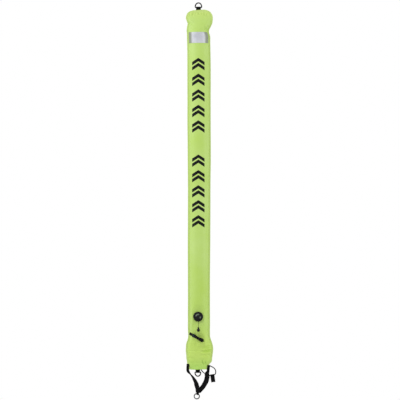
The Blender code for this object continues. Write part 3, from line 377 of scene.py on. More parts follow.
def braided_material(name, dark, light, strands, turn):
    """A braided cover: two sets of strands that cross round the cord. UV is in metres."""
    material, nodes, shader = new_material(name, Roughness=0.8, Specular_IOR_Level=0.08)
    _, _, around, along = coordinates(nodes)
    spread = nodes.math("MULTIPLY", around, strands)
    left = nodes.wave(nodes.math("MULTIPLY_ADD", along, 1 / turn, spread), 1.0)
    right = nodes.wave(nodes.math("MULTIPLY_ADD", along, -1 / turn, spread), 1.0)
    height = nodes.math("MAXIMUM", left, right)
    dress(nodes, shader, height, 0.0002, 0.7, Base_Color=nodes.mix(height, dark, light))
    return material


def ink_material():
    """Screen-printed ink, worn a little where the fabric rubbed."""
    material, nodes, shader = new_material("screen_print", Specular_IOR_Level=0.12)
    place = coordinates(nodes)[0]
    wear = nodes.ramp(nodes.noise(place, 160.0, 4.0), 0.60, 0.82, 0.0, 0.5)
    tone = nodes.mix(wear, linear(9, 10, 11), linear(30, 36, 26))
    dull = nodes.ramp(nodes.noise(place, 60.0), 0.3, 0.7, 0.42, 0.55)
    dress(nodes, shader, nodes.noise(place, 500.0), 0.00003, 0.5, Base_Color=tone, Roughness=dull)
    return material


tape_material = reflective_material()
strap_material = woven_material("black_webbing", linear(3, 3, 4), linear(30, 30, 33), 0.0016)
thread_material = moulded_material("sewing_thread", linear(14, 14, 15), linear(34, 34, 36), 0.6, shine=0.06)
plastic_material = moulded_material("black_plastic", linear(8, 9, 9), linear(22, 24, 22), 0.26, shine=0.16)
rubber_material = moulded_material("black_rubber", linear(6, 8, 6), linear(20, 22, 19), 0.50, shine=0.10)
blue_material = moulded_material("blue_grey_plastic", linear(36, 60, 68), linear(58, 86, 96), 0.32)
dark_ring_material = metal_material("blackened_steel", linear(12, 12, 13), linear(36, 37, 38), 0.42, 0.35)
steel_material = metal_material("dull_steel", linear(26, 27, 29), linear(66, 68, 70), 0.30, 0.8)
spring_material = metal_material("spring_steel", linear(110, 110, 108), linear(160, 160, 158), 0.25)
elastic_material = braided_material("elastic_cover", linear(14, 14, 15), linear(46, 46, 48), 12.0, 0.004)
cord_material = braided_material("olive_cord", linear(16, 20, 8), linear(58, 64, 36), 8.0, 0.0025)
print_material = ink_material()


def new_mesh(name, points, faces, material, uv=None):
    mesh = bpy.data.meshes.new(name)
    mesh.from_pydata([tuple(p) for p in points], [], faces)
    mesh.update()
    mesh.materials.append(material)
    if uv is not None:
        layer = mesh.uv_layers.new(name="UVMap")
        corners = np.zeros(len(mesh.loops), int)
        mesh.loops.foreach_get("vertex_index", corners)
        layer.data.foreach_set("uv", np.asarray(uv, float)[corners].astype(np.float32).ravel())
    mesh.shade_smooth()
    return in_scene(name, mesh)


def grid_faces(rows, columns, wrap=False):
    faces = []
    for i in range(rows - 1):
        for j in range(columns if wrap else columns - 1):
            k = (j + 1) % columns
            faces.append((i * columns + j, i * columns + k, (i + 1) * columns + k, (i + 1) * columns + j))
    return faces


def capped_faces(rows, sides):
    """The faces of a tube of rings, with one face over each end."""
    ends = [tuple(range(sides))[::-1], tuple(range((rows - 1) * sides, rows * sides))]
    return grid_faces(rows, sides, wrap=True) + ends


def apply_modifiers(piece):
    """The piece's evaluated mesh becomes its own, and its modifiers go."""
    bpy.context.view_layer.update()
    mesh = bpy.data.meshes.new_from_object(piece.evaluated_get(bpy.context.evaluated_depsgraph_get()))
    piece.modifiers.clear()
    piece.data = mesh
    return piece


def thicken(piece, thickness, offset=1.0):
    wall = piece.modifiers.new("wall", "SOLIDIFY")
    wall.thickness = thickness
    wall.offset = offset
    return wall


def store(piece, name, values):
    """One number for each point of the piece, which its material reads by name."""
    attribute = piece.data.attributes.new(name, "FLOAT", "POINT")
    attribute.data.foreach_set("value", values.astype(np.float32).ravel())


def facing_out(piece, merge=0.0):
    """The piece with its faces turned outwards, and with points closer than merge made one."""
    body = bmesh.new()
    body.from_mesh(piece.data)
    if merge:
        bmesh.ops.remove_doubles(body, verts=body.verts, dist=merge)
    bmesh.ops.recalc_face_normals(body, faces=body.faces)
    body.to_mesh(piece.data)
    body.free()
    return piece


def join(name, pieces):
    """One object from several, with their materials kept apart."""
    body = bmesh.new()
    materials = []
    mesh = bpy.data.meshes.new(name)
    for piece in pieces:
        start = len(body.faces)
        body.from_mesh(piece.data)
        body.faces.ensure_lookup_table()
        for face in body.faces[start:]:
            material = piece.data.materials[face.material_index]
            if material not in materials:
                materials.append(material)
            face.material_index = materials.index(material)
    body.to_mesh(mesh)
    body.free()
    for material in materials:
        mesh.materials.append(material)
    for piece in pieces:
        bpy.data.objects.remove(piece, do_unlink=True)
    return in_scene(name, mesh)


def finish(piece, body, slot, *nodes):
    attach(piece, body)
    if nodes:
        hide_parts(*nodes)
    return piece


def smooth_read(table, at):
    """A table's columns at many distances, on smooth curves through its rows."""
    rows = np.array(table, float)
    where, values = rows[:, 0], rows[:, 1:]
    slopes = np.gradient(values, where, axis=0)
    slopes[0] = slopes[-1] = 0
    at = np.clip(np.asarray(at, float), where[0], where[-1])
    low = np.clip(np.searchsorted(where, at, side="right") - 1, 0, len(where) - 2)
    span = where[low + 1] - where[low]
    t = ((at - where[low]) / span)[..., None]
    span = span[..., None]
    return (
        values[low] * (2 * t**3 - 3 * t**2 + 1)
        + slopes[low] * span * (t**3 - 2 * t**2 + t)
        + values[low + 1] * (-2 * t**3 + 3 * t**2)
        + slopes[low + 1] * span * (t**3 - t**2)
    )


def smooth(value):
    value = np.clip(value, 0, 1)
    return value * value * (3 - 2 * value)


def value_noise(seed, *places):
    """Smooth noise from -1 to 1, of one or two distances counted in cells."""
    lattice = np.random.default_rng(seed).uniform(-1, 1, (64, 64))
    x = np.asarray(places[0], float)
    y = np.asarray(places[1], float) if len(places) > 1 else np.zeros_like(x)
    x, y = np.broadcast_arrays(x, y)
    cell_x, cell_y = np.floor(x).astype(int), np.floor(y).astype(int)
    share_x, share_y = smooth(x - cell_x), smooth(y - cell_y)
    corner = lambda i, j: lattice[(cell_x + i) % 64, (cell_y + j) % 64]
    low = corner(0, 0) * (1 - share_x) + corner(1, 0) * share_x
    high = corner(0, 1) * (1 - share_x) + corner(1, 1) * share_x
    return low * (1 - share_y) + high * share_y


# Creases pressed into the front: from and to as (x, drop), then half width and depth
HEAD_CREASES = (
    ((-0.0255, 0.012), (-0.030, 0.034), 0.0035, 0.0030),
    ((-0.0140, 0.011), (-0.015, 0.026), 0.0030, 0.0018),
    ((0.0020, 0.011), (0.003, 0.030), 0.0035, 0.0030),
    ((0.0150, 0.011), (0.014, 0.028), 0.0030, 0.0016),
    ((0.0270, 0.012), (0.030, 0.036), 0.0035, 0.0030),
    ((0.0390, 0.016), (0.046, 0.038), 0.0035, 0.0028),
    ((-0.0400, 0.018), (-0.048, 0.036), 0.0035, 0.0022),
    ((-0.0520, 0.066), (-0.020, 0.076), 0.0050, 0.0030),
    ((-0.0500, 0.072), (-0.034, 0.092), 0.0040, 0.0020),
    ((0.0520, 0.100), (0.016, 0.088), 0.0055, 0.0036),
    ((0.0500, 0.108), (0.030, 0.112), 0.0040, 0.0020),
    ((0.0540, 0.090), (0.038, 0.074), 0.0045, 0.0022),
)
SKIRT_CREASES = (
    ((0.067, 1.7045), (0.002, 1.7065), 0.0055, 0.0060),
    ((-0.050, 1.7050), (0.008, 1.7055), 0.0032, 0.0014),
    ((0.062, 1.6830), (0.014, 1.6920), 0.0060, 0.0036),
    ((0.062, 1.6560), (0.034, 1.6720), 0.0060, 0.0026),
    ((-0.040, 1.6640), (0.004, 1.6800), 0.0070, 0.0018),
    ((-0.052, 1.6500), (-0.020, 1.6640), 0.0060, 0.0016),
    ((-0.054, 1.7400), (-0.014, 1.7460), 0.0060, 0.0022),
    ((-0.044, 1.7500), (-0.036, 1.7760), 0.0040, 0.0022),
    ((0.020, 1.7480), (0.026, 1.7840), 0.0042, 0.0042),
    ((0.032, 1.7540), (0.036, 1.7800), 0.0040, 0.0034),
    ((0.004, 1.7200), (0.050, 1.7300), 0.0070, 0.0020),
    ((-0.022, 1.7780), (0.004, 1.7820), 0.0055, 0.0022),
    ((-0.010, 1.7560), (-0.004, 1.7880), 0.0040, 0.0014),
    ((0.046, 1.7160), (0.058, 1.7380), 0.0045, 0.0022),
)
REAR_CREASES = (
    ((-0.030, 0.012), (-0.034, 0.036), 0.0035, 0.0028),
    ((-0.012, 0.011), (-0.010, 0.030), 0.0032, 0.0026),
    ((0.008, 0.011), (0.010, 0.026), 0.0030, 0.0018),
    ((0.024, 0.011), (0.026, 0.034), 0.0035, 0.0028),
    ((0.042, 0.016), (0.047, 0.036), 0.0035, 0.0024),
    ((-0.052, 0.068), (-0.022, 0.082), 0.0050, 0.0026),
    ((0.052, 0.099), (0.020, 0.094), 0.0055, 0.0032),
    ((-0.058, 1.7050), (0.062, 1.7050), 0.0040, 0.0022),
    ((-0.060, 1.6800), (-0.020, 1.6880), 0.0060, 0.0024),
    ((0.030, 1.6700), (0.062, 1.6580), 0.0060, 0.0022),
    ((-0.020, 1.7240), (0.046, 1.7320), 0.0065, 0.0018),
    ((-0.034, 1.7540), (-0.028, 1.7860), 0.0040, 0.0022),
    ((0.022, 1.7500), (0.018, 1.7800), 0.0040, 0.0020),
)


def pressed(x, drop, creases):
    """How far creases push the fabric in: a groove with a soft lip on each side, fading at its ends."""
    depth = np.zeros_like(x)
    for (x0, d0), (x1, d1), width, deep in creases:
        length = math.hypot(x1 - x0, d1 - d0)
        along = ((x - x0) * (x1 - x0) + (drop - d0) * (d1 - d0)) / length
        wander = 0.35 * width * np.sin(along / length * 5 + x0 * 300)
        aside = ((x - x0) * (d1 - d0) - (drop - d0) * (x1 - x0)) / length + wander
        ends = smooth(along / (3 * width) + 0.3) * smooth((length - along) / (0.45 * length))
        across = np.abs(aside) / width
        groove = np.exp(-(across**2)) - 0.45 * np.exp(-((across - 1.9) ** 2))
        depth += deep * ends * groove
    return depth


def full_depth(half_width):
    """Half the depth of an oval this wide whose girth is the straight tube's."""
    low, high = np.zeros_like(half_width), np.full_like(half_width, 2 * TUBE_RADIUS)
    for _ in range(40):
        depth = (low + high) / 2
        a, b = half_width, depth
        around = math.pi / 2 * (3 * (a + b) - np.sqrt((3 * a + b) * (a + 3 * b)))
        short = around < math.pi * TUBE_RADIUS
        low, high = np.where(short, depth, low), np.where(short, high, depth)
    return low


EDGE_RIPPLE = 0.0005


def edges_at(drop):
    """How far the left and the right edge are from the tube's axis."""
    head = smooth_read(HEAD_OUTLINE, drop)
    skirt = smooth_read(SKIRT_OUTLINE, LENGTH - drop)
    left = HALF_WIDTH + head[..., 0] + skirt[..., 0]
    right = HALF_WIDTH + head[..., 1] + skirt[..., 1]
    # The weld's own small ripples
    busy = 0.35 + np.exp(-((drop / 0.10) ** 2)) + 0.8 * smooth((drop - LENGTH + 0.24) / 0.1)
    ripple = EDGE_RIPPLE * busy
    left = left + ripple * value_noise(3, drop / 0.013) * smooth(drop / 0.02)
    right = right + ripple * value_noise(4, drop / 0.012) * smooth(drop / 0.02)
    return left, right


def depth_at(drop, half_width):
    """Half the tube's depth, which goes to nothing at the head and to a slit at the mouth."""
    depth = full_depth(half_width)
    depth = depth * np.sin(np.clip((drop - WELD) / HEAD_ROUNDING, 0, 1) * math.pi / 2)
    opening = np.clip((LENGTH - drop - MOUTH_CUFF) / SKIRT_RISE, 0, 1)
    return np.where(opening < 1, MOUTH_DEPTH + (depth - MOUTH_DEPTH) * np.sin(opening * math.pi / 2), depth)


# Where the rows of points change their spacing, and how many there are up to the next place
ROW_SPANS = ((0, 9), (0.012, 114), (0.205, 190), (LENGTH - 0.330, 190))


def row_drops():
    """Rows lie close together at the head and the skirt, and further apart between them."""
    ends = [start for start, _ in ROW_SPANS[1:]] + [LENGTH]
    spans = [np.linspace(start, end, count) for (start, count), end in zip(ROW_SPANS, ends)]
    return np.concatenate([span[:-1] for span in spans[:-1]] + spans[-1:])


FINE_COLUMNS = 65
FLANGE_COLUMNS = (0.35, 0.7, 1.0)  # shares of the weld's width
LEAST_HEIGHT = 0.45  # share of the panel's height that every crease leaves
# Puckers along the side welds and the top weld: pitch, depth, and how far they reach in
LEFT_PUCKERS = 0.0085
RIGHT_PUCKERS = 0.0095
TOP_PUCKERS = 0.0075
PUCKER_DEPTH = 0.0011
TOP_PUCKER_DEPTH = 0.0012
PUCKER_REACH = 0.011
WELD_STEP = 0.003  # over this length from the weld they come up
TAB_ROOM = 0.00135  # how far each panel stands off for the webbing tab between them
FLANGE_RIPPLE = 0.00022
LEAST_GAP = 0.00008  # of a flange from the middle plane
HEM_WAVE = 0.0009
HEAD_TILT = 0.0018


def clamped(across, along, reach, fade_across, fade_along):
    """1 within reach of a fitting's middle, and down to 0 over the fades."""
    level = smooth(1 + (reach - np.abs(across)) / fade_across)
    return level * smooth(1 + (reach - np.abs(along)) / fade_along)


def relief(side, x, drop, girth, inside, busy, on_left):
    """How far the fabric stands off its smooth form: puckers, slow swells and creases."""
    ridges = np.where(on_left, value_noise(11, drop / LEFT_PUCKERS), value_noise(23, drop / RIGHT_PUCKERS))
    reach = PUCKER_REACH * (0.6 + 0.4 * busy)
    puckers = -PUCKER_DEPTH * busy * np.abs(ridges) * np.exp(-inside / reach) * smooth(inside / WELD_STEP)
    below_weld = np.maximum(drop - WELD, 0)
    top = -TOP_PUCKER_DEPTH * np.abs(value_noise(31 + side, x / TOP_PUCKERS)) * np.exp(-below_weld / 0.012)
    puckers += top * smooth((drop - WELD) / WELD_STEP)
    swell = 0.0004 * value_noise(41 + side, girth / 0.03, drop / 0.055)
    swell += 0.00022 * value_noise(43 + side, girth / 0.012, drop / 0.02) * busy
    creases = HEAD_CREASES + SKIRT_CREASES if side < 0 else REAR_CREASES
    return (puckers + swell - pressed(x, drop, creases)) * smooth(inside / 0.004)


def with_fittings(side, x, y, drop):
    """The depth with flats under the valve and the inflator, and room between the panels for the tab."""
    if side < 0:
        for centre, seat, reach, fade, fade_along in FLATS:
            level = clamped(x - centre.x, drop - (TOP_Z - centre.z), reach, fade, fade_along)
            y = y + level * (seat - y)
    tab_low, tab_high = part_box("top_tab")
    tab = smooth(1 + ((tab_high.x - tab_low.x) / 2 + 0.004 - np.abs(x)) / 0.008)
    tab = tab * smooth(1 + (TOP_Z - tab_low.z + 0.003 - drop) / 0.012)
    return y + TAB_ROOM * tab


def flanges(side, drops, left, right, busy):
    """The weld's columns on the left and the right, outwards: x, depth and place along the girth."""
    lefts, rights = [], []
    edge = math.pi / 2 * TUBE_RADIUS
    for share in FLANGE_COLUMNS:
        ripple = FLANGE_RIPPLE * value_noise(57, drops / 0.011) * share * (0.4 + busy)
        flat = np.maximum(GAP / 2 + side * ripple, LEAST_GAP)
        lefts.append((TUBE_X - left + (1 - share) * WELD, flat, -edge - share * WELD))
        rights.append((TUBE_X + right - (1 - share) * WELD, flat, edge + share * WELD))
    return lefts, rights


def panel_surface(side):
    """The panel's outer face: points, UV in metres, how far each point is inside the weld, and rows."""
    drops = row_drops()
    left, right = edges_at(drops)
    half = (left + right) / 2 - WELD
    middle = TUBE_X + (right - left) / 2
    depth = depth_at(drops, half)
    angles = np.linspace(-math.pi / 2, math.pi / 2, FINE_COLUMNS)
    x = middle[:, None] + half[:, None] * np.sin(angles)
    y = GAP / 2 + depth[:, None] * np.cos(angles)
    girth = np.broadcast_to(angles * TUBE_RADIUS, x.shape).copy()
    drop = np.broadcast_to(drops[:, None], x.shape).copy()
    inside = TUBE_RADIUS * (math.pi / 2 - np.abs(angles))
    inside = np.minimum(np.broadcast_to(inside, x.shape), np.maximum(drop - WELD, 0))
    busy = 0.25 + 1.1 * np.exp(-((drop / 0.12) ** 2)) + 0.9 * smooth((drop - LENGTH + 0.23) / 0.09)

    push = relief(side, x, drop, girth, inside, busy, x < middle[:, None])
    normal_x, normal_y = np.sin(angles) * depth[:, None], np.cos(angles) * half[:, None]
    size = np.maximum(np.hypot(normal_x, normal_y), 1e-6)
    x = x + push * normal_x / size
    y = np.maximum(y + push * normal_y / size, GAP / 2 + LEAST_HEIGHT * (y - GAP / 2))
    y = with_fittings(side, x, y, drop)

    lefts, rights = flanges(side, drops, left, right, busy[:, 0])
    tube = [(x[:, j], y[:, j], girth[:, j]) for j in range(FINE_COLUMNS)]
    columns = [*lefts[::-1], *tube, *rights]
    points = np.zeros((len(drops), len(columns), 3))
    uv = np.zeros((len(drops), len(columns), 2))
    for j, (column_x, column_y, place) in enumerate(columns):
        points[:, j, 0] = column_x
        points[:, j, 1] = side * column_y
        points[:, j, 2] = TOP_Z - drops
        uv[:, j, 0] = place
        uv[:, j, 1] = -drops
    weld = np.ones((len(drops), len(columns)))
    extra = len(FLANGE_COLUMNS)
    weld[:, extra : extra + FINE_COLUMNS] = 0.7 * np.exp(-inside / 0.007)
    weld = np.maximum(weld, smooth((WELD + 0.0015 - drops) / 0.002)[:, None])
    # The mouth's uneven hem, and the head's edge, which stands higher on the right
    lower = smooth((drops - LENGTH + 0.03) / 0.03)[:, None]
    points[:, :, 2] -= lower * (0.0005 + HEM_WAVE * value_noise(61, points[:, :, 0] / 0.016))
    upper = smooth(1 - drops / 0.03)[:, None]
    points[:, :, 2] += upper * (HEAD_TILT * np.tanh(points[:, :, 0] / 0.025) - 0.0003)
    return points, uv, weld, drops


def fabric_panel(name, side):
    """The panel with its fabric's thickness, and its surface's points, UV and rows."""
    points, uv, weld, drops = panel_surface(side)
    rows, columns = points.shape[:2]
    faces = grid_faces(rows, columns)
    if side < 0:
        faces = [f[::-1] for f in faces]
    piece = new_mesh(name, points.reshape(-1, 3), faces, panel_material, uv.reshape(-1, 2))
    store(piece, "seam", weld)
    thicken(piece, FABRIC)
    return piece, points, uv, drops


front_fabric, front_points, front_uv, front_drops = fabric_panel("front_fabric", -1)
rear_fabric, rear_points, rear_uv, rear_drops = fabric_panel("rear_fabric", 1)


def cut(piece, cutters):
    """The cutters' shapes leave the piece, and the cutters go."""
    for cutter in cutters:
        cutter.hide_render = True
        tool = piece.modifiers.new("cut", "BOOLEAN")
        tool.object = cutter
        tool.solver = "EXACT"
    apply_modifiers(piece)
    for cutter in cutters:
        bpy.data.objects.remove(cutter, do_unlink=True)
    return piece


OUTWARDS = Matrix.Rotation(math.pi / 2, 4, "X")  # turns Z out of the fabric's front


def hole(middle, seat, radius):
    """A rod that cuts a fitting's hole in the front fabric."""
    bpy.ops.mesh.primitive_cylinder_add(vertices=48, radius=radius, depth=0.03)
    rod = bpy.context.object
    rod.data.transform(Matrix.Translation((middle.x, -seat, middle.z)) @ OUTWARDS)
    return rod


VALVE_HOLE = 0.0151
PORT_HOLE = 0.0054
cut(front_fabric, [hole(VALVE, VALVE_SEAT, VALVE_HOLE), hole(PORT, PORT_SEAT, PORT_HOLE)])
apply_modifiers(rear_fabric)


def surface_of(piece):
    """A tree of the piece's faces, to cast rays at."""
    points = [v.co.copy() for v in piece.data.vertices]
    return BVHTree.FromPolygons(points, [tuple(p.vertices) for p in piece.data.polygons])


SURFACES = {-1: surface_of(front_fabric), 1: surface_of(rear_fabric)}


def on_fabric(x, z, lift):
    """The point that lies lift above the front fabric at x and z."""
    hit, normal, _, _ = SURFACES[-1].ray_cast(Vector((x, -0.2, z)), Vector((0, 1, 0)))
    if normal.y > 0:
        normal = -normal
    return hit + normal * lift


for panel, node in ((front_fabric, "front_panel"), (rear_fabric, "rear_panel")):
    finish(panel, "tube", "panel_fabric", node)


TAPE = 0.00025
TAPE_LIFT = 0.00012
TAPE_INSET = 3  # columns of the panel left bare at each end of the tape
# Painted shade on the tape's ends, where it curves away round the tube: where it starts on the right and the
# left, and over how long a stretch
DARK_RIGHT = (0.026, 0.014)
DARK_LEFT = (0.028, 0.018)


def reflector(name, side, points, uv, drops, node):
    """Tape bonded across the panel. It follows every swell of the fabric under it."""
    low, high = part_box(node)
    rows = [i for i, drop in enumerate(drops) if low.z <= TOP_Z - drop <= high.z]
    extra = len(FLANGE_COLUMNS)
    columns = list(range(extra + TAPE_INSET, extra + FINE_COLUMNS - TAPE_INSET))
    patch = points[np.ix_(rows, columns)]
    along = np.gradient(patch, axis=0)
    across = np.gradient(patch, axis=1)
    normals = side * np.cross(across, along)
    normals /= np.linalg.norm(normals, axis=2)[..., None]
    lay = uv[np.ix_(rows, columns)]
    ripple = TAPE_LIFT * value_noise(71 + side, lay[..., 0] / 0.006, lay[..., 1] / 0.02)
    patch = patch + normals * (FABRIC + TAPE_LIFT + np.abs(ripple))[..., None]
    faces = grid_faces(*patch.shape[:2])
    if side < 0:
        faces = [f[::-1] for f in faces]
    piece = new_mesh(name, patch.reshape(-1, 3), faces, tape_material, lay.reshape(-1, 2))
    # Painted shade towards both ends, stored on the tape's points
    ends = smooth((lay[..., 0] - DARK_RIGHT[0]) / DARK_RIGHT[1])
    ends += smooth((-lay[..., 0] - DARK_LEFT[0]) / DARK_LEFT[1])
    store(piece, "shade", np.clip(ends, 0, 1))
    thicken(piece, TAPE)
    apply_modifiers(piece)
    return finish(piece, "tube", "reflective_tape", node)


reflector("front_reflector", -1, front_points, front_uv, front_drops, "front_tape")
reflector("rear_reflector", 1, rear_points, rear_uv, rear_drops, "rear_tape")

# Printed marks: two groups of double chevrons, each as wide and tall as one mark of the print
MARK_X = (198.35 - ORIGIN_PIXEL[0]) * PIXEL
MARK_WIDTH = 0.062
MARK_STROKE = 0.017
MARK_GAP = 0.008
MARK_RISE = 0.020
MARK_GRID = (22, 10)  # squares along half a chevron, and across its stroke
MARK_MIDDLES = (64.5, 80.15, 95.8, 111.3, 126.7, 160.8, 176.25, 191.4, 206.25, 221.25)
PRINT_LIFT = 0.00008
PRINT = 0.00006


def chevron(name, middle):
    """Two slanted bars that meet in a peak, laid on the front fabric in small squares."""
    steps, threads = MARK_GRID
    points, uv = [], []
    for i in range(2 * steps + 1):
        share = i / steps - 1
        x = MARK_X + share * MARK_WIDTH / 2
        line = middle + MARK_RISE * (0.5 - abs(share))
        for j in range(threads + 1):
            z = line + (j / threads - 0.5) * MARK_STROKE
            points.append(on_fabric(x, z, PRINT_LIFT))
            uv.append((x, z))
    faces = [f[::-1] for f in grid_faces(2 * steps + 1, threads + 1)]
    piece = new_mesh(name, points, faces, print_material, uv)
    thicken(piece, PRINT)
    return apply_modifiers(piece)


marks = []
for v in MARK_MIDDLES:
    for half in (-0.5, 0.5):
        middle = frame_point(0, v).z + half * (MARK_STROKE + MARK_GAP)
        marks.append(chevron("mark", middle))
finish(join("printed_marks", marks), "tube", "black_rubber")


def sweep(name, line, radius, sides, material, closed=False):
    """A round tube along a line, with UV of turns round it and metres along it."""
    line = [Vector(p) for p in line]
    count = len(line)
    tangents = []
    for i in range(count):
        after = line[(i + 1) % count] if closed else line[min(i + 1, count - 1)]
        before = line[i - 1] if closed or i else line[0]
        tangents.append((after - before).normalized())
    normal = tangents[0].orthogonal().normalized()
    radii = radius if hasattr(radius, "__len__") else [radius] * count
    points, uv = [], []
    gone = 0.0
    for i, tangent in enumerate(tangents):
        if i:
            gone += (line[i] - line[i - 1]).length
        normal = (normal - tangent * normal.dot(tangent)).normalized()
        side = tangent.cross(normal)
        for j in range(sides):
            angle = j * math.tau / sides
            outwards = normal * math.cos(angle) + side * math.sin(angle)
            points.append(line[i] + outwards * radii[i])
            uv.append((j / sides, gone))
    if closed:
        last = (count - 1) * sides
        faces = grid_faces(count, sides, wrap=True)
        faces += [(last + j, last + (j + 1) % sides, (j + 1) % sides, j) for j in range(sides)]
    else:
        faces = capped_faces(count, sides)
    return facing_out(new_mesh(name, points, [f[::-1] for f in faces], material, uv))


def ring_of(name, line, wire, material, weld):
    """A ring of round wire, slightly thicker round the point where its ends were welded."""
    radii = [wire * (1 + 0.10 * math.exp(-(((i - weld) / 1.1) ** 2))) for i in range(len(line))]
    return sweep(name, line, radii, 20, material, closed=True)


def arc(centre, radii, start, end, steps):
    """Points on an ellipse between two angles in degrees."""
    angles = [math.radians(start + (end - start) * i / steps) for i in range(steps + 1)]
    return [(centre[0] + radii[0] * math.cos(a), centre[1] + radii[1] * math.sin(a)) for a in angles]


D_RING_WIRE = 0.006
D_RING_CORNER = 0.004


def d_ring(name, node, bow, material):
    """A welded D-ring in place of its CAD node: a straight bar, round corners, and a bow up or down."""
    low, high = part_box(node)
    wire = D_RING_WIRE / 2
    middle = (low + high) / 2
    flat = wire * math.cos(math.pi / 8)  # the CAD wire has eight sides
    half = (high.x - low.x) / 2 - flat
    tall = high.z - low.z - 2 * flat
    corner = D_RING_CORNER
    line = arc((-half + corner, corner), (corner, corner), 180, 270, 10)
    line += arc((half - corner, corner), (corner, corner), 270, 360, 10)
    line += arc((0, corner), (half, tall - corner), 0, 180, 44)[1:-1]
    bar_z = middle.z - bow * tall / 2
    points = [(middle.x + x, middle.y, bar_z + bow * z) for x, z in line]
    return ring_of(name, points, wire, material, weld=10.5)


finish(d_ring("top_d_ring", "top_ring", 1, dark_ring_material), "top_ring", "dark_ring", "top_ring")
centre_d_ring = d_ring("centre_d_ring", "centre_ring", -1, dark_ring_material)
finish(centre_d_ring, "centre_ring", "dark_ring", "centre_ring")

RING_MIDDLE = box_middle("bridle_ring")
RING_RADIUS = 0.013
RING_WIRE = 0.005
ring_circle = arc((0, 0), (RING_RADIUS, RING_RADIUS), 0, 360, 80)[:-1]
ring_line = [RING_MIDDLE + Vector((x, 0, z)) for x, z in ring_circle]
round_ring = ring_of("bridle_round_ring", ring_line, RING_WIRE / 2, steel_material, weld=64)
finish(round_ring, "bridle_ring", "bright_ring", "bridle_ring")


def repeat_group():
    """Puts a copy of a piece on each point, turned as the point's own attribute says."""
    tree = bpy.data.node_groups.new("repeat_on_points", "GeometryNodeTree")
    for name, way, kind in (
        ("Points", "INPUT", "NodeSocketGeometry"),
        ("Piece", "INPUT", "NodeSocketObject"),
        ("Material", "INPUT", "NodeSocketMaterial"),
        ("Copies", "OUTPUT", "NodeSocketGeometry"),
    ):
        tree.interface.new_socket(name=name, in_out=way, socket_type=kind)
    nodes = Nodes(tree)
    given = nodes.add("NodeGroupInput").outputs
    piece = nodes.add("GeometryNodeObjectInfo", {"Object": given["Piece"]}).outputs["Geometry"]
    turn = nodes.add("GeometryNodeInputNamedAttribute", {"Name": "turn"}, data_type="FLOAT_VECTOR")
    placed = nodes.add(
        "GeometryNodeInstanceOnPoints",
        {"Points": given["Points"], "Instance": piece, "Rotation": turn.outputs["Attribute"]},
    )
    real = nodes.add("GeometryNodeRealizeInstances", {"Geometry": placed.outputs[0]}).outputs[0]
    made = nodes.add("GeometryNodeSetMaterial", {"Geometry": real, "Material": given["Material"]}).outputs[0]
    tree.links.new(made, nodes.add("NodeGroupOutput").inputs["Copies"])
    return tree


REPEAT = repeat_group()


def repeated(name, places, piece, material):
    """Copies of a piece at many places, made with Geometry Nodes. The piece itself goes."""
    mesh = bpy.data.meshes.new(name)
    mesh.from_pydata([tuple(place.translation) for place in places], [], [])
    turn = mesh.attributes.new("turn", "FLOAT_VECTOR", "POINT")
    turn.data.foreach_set("vector", np.array([place.to_euler() for place in places], np.float32).ravel())
    made = in_scene(name, mesh)
    grown = made.modifiers.new("repeat", "NODES")
    grown.node_group = REPEAT
    for socket in REPEAT.interface.items_tree:
        if socket.in_out == "INPUT" and socket.name in ("Piece", "Material"):
            grown[socket.identifier] = piece if socket.name == "Piece" else material
    apply_modifiers(made)
    bpy.data.objects.remove(piece, do_unlink=True)
    return made


def bead_piece(size):
    """A small rounded piece of this size."""
    bpy.ops.mesh.primitive_uv_sphere_add(segments=12, ring_count=8, radius=0.5)
    piece = bpy.context.object
    for corner in piece.data.vertices:
        corner.co = [math.copysign(abs(2 * c) ** 0.6 / 2, c) * s for c, s in zip(corner.co, size)]
    piece.data.shade_smooth()
    return piece


def block(size, rounding, place, material):
    """A block with rounded edges, set in its place."""
    body = bmesh.new()
    bmesh.ops.create_cube(body, size=1.0, matrix=Matrix.Diagonal((*size, 1.0)))
    bmesh.ops.bevel(body, geom=body.edges[:], offset=rounding, segments=3, profile=0.5, affect="EDGES")
    mesh = bpy.data.meshes.new("block")
    body.to_mesh(mesh)
    body.free()
    mesh.shade_smooth()
    mesh.transform(place)
    mesh.materials.append(material)
    return in_scene("block", mesh)


STITCH = 0.0026
THREAD_WIDTH = 0.0007


def stitch_row(points, outward):
    """The place of each stitch along a line of points, with its flat side towards outward."""
    points = [Vector(p) for p in points]
    lengths = [0.0]
    for a, b in zip(points, points[1:]):
        lengths.append(lengths[-1] + (b - a).length)
    count = max(1, round(lengths[-1] / STITCH))
    places = []
    for i in range(count):
        at = (i + 0.5) * lengths[-1] / count
        k = max(j for j in range(len(points) - 1) if lengths[j] <= at)
        along = (points[k + 1] - points[k]).normalized()
        side = Vector(outward).cross(along).normalized()
        places.append(placed(along, side, along.cross(side), points[k] + along * (at - lengths[k])))
    return places


def beads(name, places, size, material):
    """The same small rounded piece at every place: stitches, a knurl, ribs or teeth."""
    return repeated(name, places, bead_piece(size), material)


def stitches(name, places):
    return beads(name, places, (0.72 * STITCH, THREAD_WIDTH, 0.7 * THREAD_WIDTH), thread_material)


def slab_outline(count=24):
    """A flat strap's section: level faces and round edges, both from -1 to 1."""
    out = []
    for i in range(count):
        angle = i * math.tau / count
        c, s = math.cos(angle), math.sin(angle)
        out.append((math.copysign(abs(c) ** 0.55, c), math.copysign(abs(s) ** 0.4, s)))
    return out


